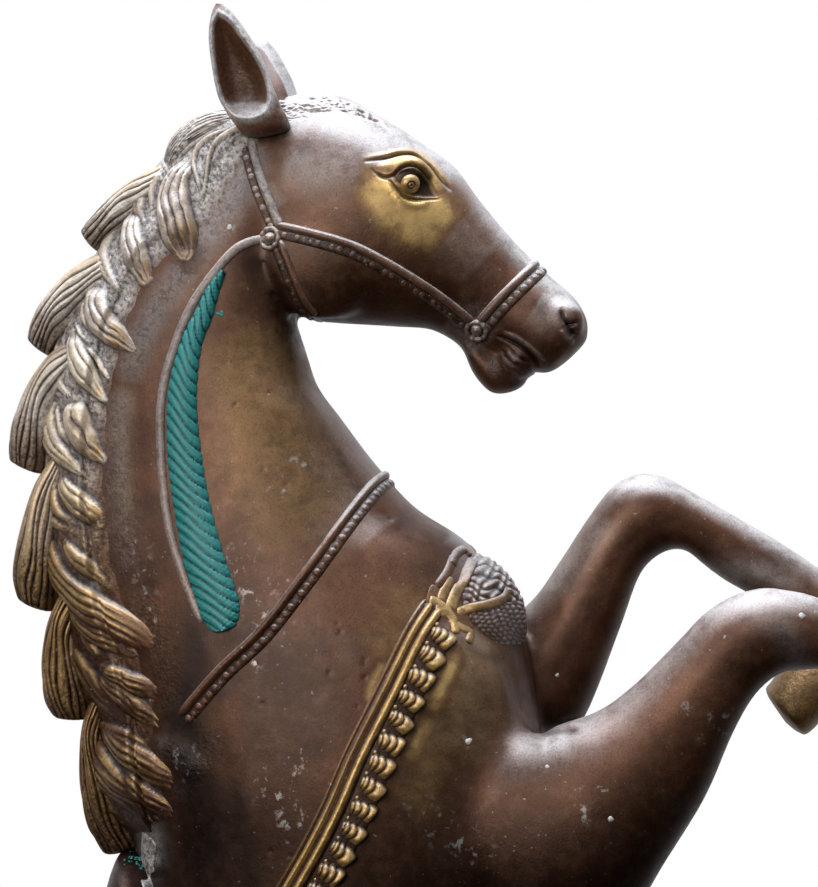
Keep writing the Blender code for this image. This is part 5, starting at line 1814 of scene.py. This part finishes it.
@dataclass(frozen=True)
class PatinatedBrass:
    """Cast brass under a brown patina and wax: dull brown, bright where hands rub it, dusty with painted
    sheen on top, with painted shade low down and where sheltered.
    """

    name: str = "patinated_brass"
    deep: str = "#452512"
    brown: str = "#7B523A"
    warm: str = "#85603C"
    bloom: str = "#8F8B8E"
    # A pale tone that the gold of the upper hair is paled towards: a painted highlight.
    gold: str = "#DDB878"
    cream_highlight: str = "#F6EDDC"
    # The blackish brown of dirt in pits and grooves, also the colour of the painted shade.
    soot_and_shade: str = "#140B07"
    # Pale dust and flakes, also the colour of the painted sheen on upward faces.
    dust: str = "#CCC9C6"
    patch_size: float = 60.0
    veil_size: float = 22.0
    flake_size: float = 5.0
    crumb_size: float = 2.3
    speck_size: float = 2.2
    mottle_size: float = 7.0
    grit_size: float = 0.9
    roughness: float = 0.40

    def make(self) -> Material:
        """Builds the material."""
        material, shader = new_material(self.name)
        place = add_node(material, "ShaderNodeTexCoord").outputs["Object"]
        patches = noise(material, place, self.patch_size, 4.0)
        veil = noise(material, place, self.veil_size, 6.0)
        mottle = noise(material, place, self.mottle_size, 6.0)
        grit = noise(material, place, self.grit_size, 3.0)
        flakes = noise(material, place, self.flake_size, 6.0)
        crumbs = noise(material, place, self.crumb_size, 8.0)
        marks = (*Form.MARKS, "shelter")
        rub, hollow, dusty, crust, fleck, shelter = (mark(material, name) for name in marks)
        facing = add_node(material, "ShaderNodeNewGeometry").outputs["Normal"]
        upward = add_node(material, "ShaderNodeSeparateXYZ", inputs={0: facing}).outputs["Z"]
        height = add_node(material, "ShaderNodeSeparateXYZ", inputs={0: place}).outputs["Z"]

        colour = blend(material, span(material, patches, 0.35, 0.65, 0.25, 1.0), self.deep, self.brown)
        colour = blend(material, span(material, mottle, 0.45, 0.8, 0.0, 0.6), colour, self.warm)
        colour = blend(material, span(material, veil, 0.52, 0.75, 0.0, 0.12), colour, self.bloom)
        colour = blend(material, span(material, grit, 0.3, 0.52, 0.42, 0.0), colour, self.soot_and_shade)
        # Painted shade: the colour darkens low on the statue and where the flesh shelters a place from above.
        shade_low_down = span(material, height, 0.50, 0.64, 0.55, 0.0)
        painted_shade = product(material, shelter, 0.6, shade_low_down)
        colour = blend(material, painted_shade, colour, self.soot_and_shade)

        # Dust lies on upward faces open to the sky, more of it higher up; its pale colour also paints the
        # sheen of the sky on these tops: dust and a painted highlight.
        open_sky = span(material, shelter, 0.0, 0.8, 1.0, 0.0)
        high_up = span(material, height, 0.60, 0.90, 0.75, 2.0)
        lying_dust_and_sheen = product(material, span(material, upward, 0.28, 0.92), open_sky)
        settled_dust_and_sheen = product(material, lying_dust_and_sheen, high_up, dusty)
        grains = product(
            material, span(material, mottle, 0.3, 0.6, 0.6, 1.0), span(material, grit, 0.35, 0.55, 0.7, 1.1)
        )
        dust_and_sheen_share = product(material, settled_dust_and_sheen, grains)
        gold_share = product(material, rub, span(material, mottle, 0.25, 0.6, 0.55, 1.0))
        gold_share = product(material, gold_share, span(material, grit, 0.3, 0.52, 0.6, 1.0))
        colour = blend(material, dust_and_sheen_share, colour, self.dust)
        # Painted highlight: rubbed gold high on the mane is paled.
        hair = product(material, span(material, crust, 0.0, 0.4), span(material, height, 0.64, 0.78))
        gilt = blend(material, hair, self.gold, self.cream_highlight)
        colour = blend(material, gold_share, colour, gilt)
        # Darker where the hollow mark lies: dark dirt and patina in real hollows, and painted shade where
        # strokes lay the mark on smooth flesh.
        colour = blend(material, product(material, hollow, 0.88), colour, self.soot_and_shade)

        flaking = product(material, fleck, span(material, flakes, 0.56, 0.66))
        colour = blend(material, product(material, flaking, 0.45), colour, self.dust)
        specks = span(material, noise(material, place, self.speck_size, 1.0), 0.72, 0.78, 0.0, 0.4)
        colour = blend(material, product(material, specks, open_sky), colour, self.dust)
        pitted = product(material, crust, span(material, crumbs, 0.40, 0.52, 0.7, 0.0))
        colour = blend(material, pitted, colour, self.soot_and_shade)
        metal = product(material, gold_share, 0.3, span(material, dust_and_sheen_share, 0.0, 1.0, 0.45, 0.05))
        metal = product(material, painted_shade, 0.4, metal)
        metal = product(material, metal, span(material, hair, 0.0, 1.0, 1.0, 0.3))
        sheen = span(material, mottle, 0.3, 0.7, self.roughness - 0.07, self.roughness + 0.1)
        bump = relieve(material, mottle, 0.35, 0.6)
        bump = relieve(material, grit, 0.3, 0.2, Normal=bump)
        rough = relieve(material, crumbs, crust, 1.1, Normal=bump)
        wax = span(material, painted_shade, 0.0, 0.6, 0.18, 0.04)
        shader.inputs["Coat Roughness"].default_value = 0.3
        looks = {"Base Color": colour, "Metallic": metal, "Roughness": sheen, "Normal": rough}
        looks["Coat Weight"] = wax
        for socket, value in looks.items():
            material.node_tree.links.new(value, shader.inputs[socket])
        return material


@dataclass(frozen=True)
class TealPaint:
    """Teal enamel brushed thickly over the plaited tassel: satin, with darker paint in the grooves."""

    name: str = "teal_paint"
    paint: str = "#2E8F8B"
    shade: str = "#0C4548"
    stroke_size: float = 2.5

    def make(self) -> Material:
        """Builds the material."""
        material, shader = new_material(self.name)
        shader.inputs["Roughness"].default_value = 0.42
        place = add_node(material, "ShaderNodeTexCoord").outputs["Object"]
        strokes = noise(material, place, self.stroke_size, 5.0, 0.5)
        share = product(material, strokes, 0.35, mark(material, "hollow"))
        colour = blend(material, share, self.paint, self.shade)
        material.node_tree.links.new(colour, shader.inputs["Base Color"])
        material.node_tree.links.new(relieve(material, strokes, 0.4, 0.5), shader.inputs["Normal"])
        return material


@dataclass
class Studio:
    """The camera, the floor and the soft light."""

    sensor: float = 36.0
    # The lens takes in 0.4435 m at a distance of 1.1 m.
    lens: float = sensor * 1.1 / 0.4435
    aim: Vector = field(default_factory=lambda: Vector((0.100, 0.0, 0.740)))
    lit: Vector = field(default_factory=lambda: Vector((0.05, 0, 0.62)))

    def camera(self) -> None:
        """A camera where the sculptor stood."""
        data = bpy.data.cameras.new("camera")
        data.lens = self.lens
        data.sensor_width = self.sensor
        thing = bpy.data.objects.new("camera", data)
        thing.location = SCULPTOR_EYE
        thing.rotation_euler = (self.aim - SCULPTOR_EYE).to_track_quat("-Z", "Y").to_euler()
        bpy.context.scene.collection.objects.link(thing)
        bpy.context.scene.camera = thing

    def area(
        self, name: str, place: Sequence[float], size: tuple[float, float], power: float, tint: str
    ) -> None:
        """A soft panel of light that faces the horse."""
        data = bpy.data.lights.new(name, "AREA")
        data.shape = "RECTANGLE"
        data.size, data.size_y = size
        data.energy = power
        data.color = linear(tint)[:3]
        thing = bpy.data.objects.new(name, data)
        thing.location = place
        thing.rotation_euler = (self.lit - Vector(place)).to_track_quat("-Z", "Y").to_euler()
        bpy.context.scene.collection.objects.link(thing)

    def floor(self) -> None:
        """A round pale floor that only shows where the horse stands."""
        bpy.ops.object.select_all(action="DESELECT")
        bpy.ops.mesh.primitive_circle_add(vertices=96, radius=2.4, fill_type="NGON", location=(0, 0, 0))
        floor = bpy.context.object
        floor.name = "floor"
        pale, shader = new_material("pale_floor")
        shader.inputs["Base Color"].default_value = linear("#E8E8EA")
        shader.inputs["Roughness"].default_value = 0.8
        floor.data.materials.append(pale)
        floor.visible_diffuse = False
        floor.visible_glossy = False

    def surroundings(self) -> None:
        """A pale room: plain white to the eye, brighter above and behind for the metal to reflect."""
        world = bpy.data.worlds.new("pale_room")
        bpy.context.scene.world = world
        world.use_nodes = True
        seen = world.node_tree.nodes["Background"]
        seen.inputs["Color"].default_value = (1, 1, 1, 1)
        seen.inputs["Strength"].default_value = 1.0
        direction = add_node(world, "ShaderNodeTexCoord").outputs["Generated"]
        parts = add_node(world, "ShaderNodeSeparateXYZ", inputs={0: direction}).outputs
        levels = []
        for part, low, high, strength in (("Z", -0.2, 0.9, 0.7), ("Y", 0.0, 0.8, 0.6)):
            inputs = {"Value": parts[part], "From Min": low, "From Max": high, "To Max": strength}
            levels.append(add_node(world, "ShaderNodeMapRange", inputs=inputs).outputs[0])
        total = add_node(world, "ShaderNodeMath", inputs=dict(enumerate(levels))).outputs[0]
        around = add_node(
            world, "ShaderNodeBackground", inputs={"Color": linear("#E9EBF1"), "Strength": total}
        )
        rays = add_node(world, "ShaderNodeLightPath").outputs["Is Camera Ray"]
        mix = add_node(
            world, "ShaderNodeMixShader", inputs={0: rays, 1: around.outputs[0], 2: seen.outputs[0]}
        )
        world.node_tree.links.new(mix.outputs[0], world.node_tree.nodes["World Output"].inputs["Surface"])

    def build(self) -> None:
        """Sets up the camera, the floor, the lights and the pale surroundings."""
        self.camera()
        self.floor()
        self.area("overhead", (-0.1, -0.1, 2.2), (1.8, 1.4), 44.0, "#EEF2FF")
        self.area("front", (-0.9, -2.0, 1.2), (1.6, 1.2), 22.0, "#FFF8F0")
        self.surroundings()
        bpy.context.scene.view_settings.view_transform = "Standard"


def main() -> None:
    """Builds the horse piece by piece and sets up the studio."""
    logging.basicConfig(level=logging.INFO, format="%(message)s")
    brass = PatinatedBrass().make()
    teal = TealPaint().make()
    flesh = Flesh()
    head, forehand, hindquarters = flesh.build()
    face = Face()
    wear = WearAndPaintedLight()
    face.carve(head, wear.strokes())
    make_finer(forehand, wear.worn)
    chisel(forehand, wear.strokes() + [stroke for stroke in face.strokes() if stroke.depth == 0])
    for thing in (head, forehand, hindquarters):
        finish_piece(thing, brass)
    plate = BreastPlate()
    mane = Mane()
    trappings = Trappings()
    hindwork = Hindwork()
    forms = {
        "breast_plate": plate.plate(),
        "eyes": face.eyes(flesh),
        "ears": Ear().pair(),
        "mane_tufts": mane.tufts(),
        "mane_locks": mane.side(flesh),
        "bridle": trappings.bridle(flesh),
        "tassel": trappings.tassel(flesh),
        "bands": trappings.bands(flesh),
        "shells": trappings.shells(flesh),
        "limewash": wear.limewash(flesh),
    }
    for name, form in forms.items():
        finish_piece(form.make(name), teal if name == "tassel" else brass)
    skin = flesh.skin
    core = plate.core().make("plate_core")
    flesh.remember([forehand, core])
    bpy.data.objects.remove(core)
    finish_piece(plate.knot(flesh).make("breast_knot"), brass)
    flesh.skin = skin
    finish_piece(hindwork.hooves().make("hooves"), brass)
    saddle = hindwork.saddle().make("saddle")
    flesh.shelter(saddle)
    finish_piece(saddle, brass)
    flesh.remember([forehand, saddle])
    finish_piece(hindwork.saddle_rim(flesh).make("saddle_rim"), brass)
    finish_piece(wear.spilt_paint(flesh).make("spilt_paint"), teal)
    tail = hindwork.tail().make("tail")
    cut_off(tail, Vector((0, 0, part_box("base")[1].z)), Vector((0, 0, 1)))
    finish_piece(tail, brass)
    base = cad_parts["base"]
    base.data.materials.clear()
    base.data.materials.append(PatinatedBrass(name=Slot.PLINTH.value, dust="#85766A").make())
    Studio().build()
    bpy.context.view_layer.update()


if __name__ == "__main__":
    main()
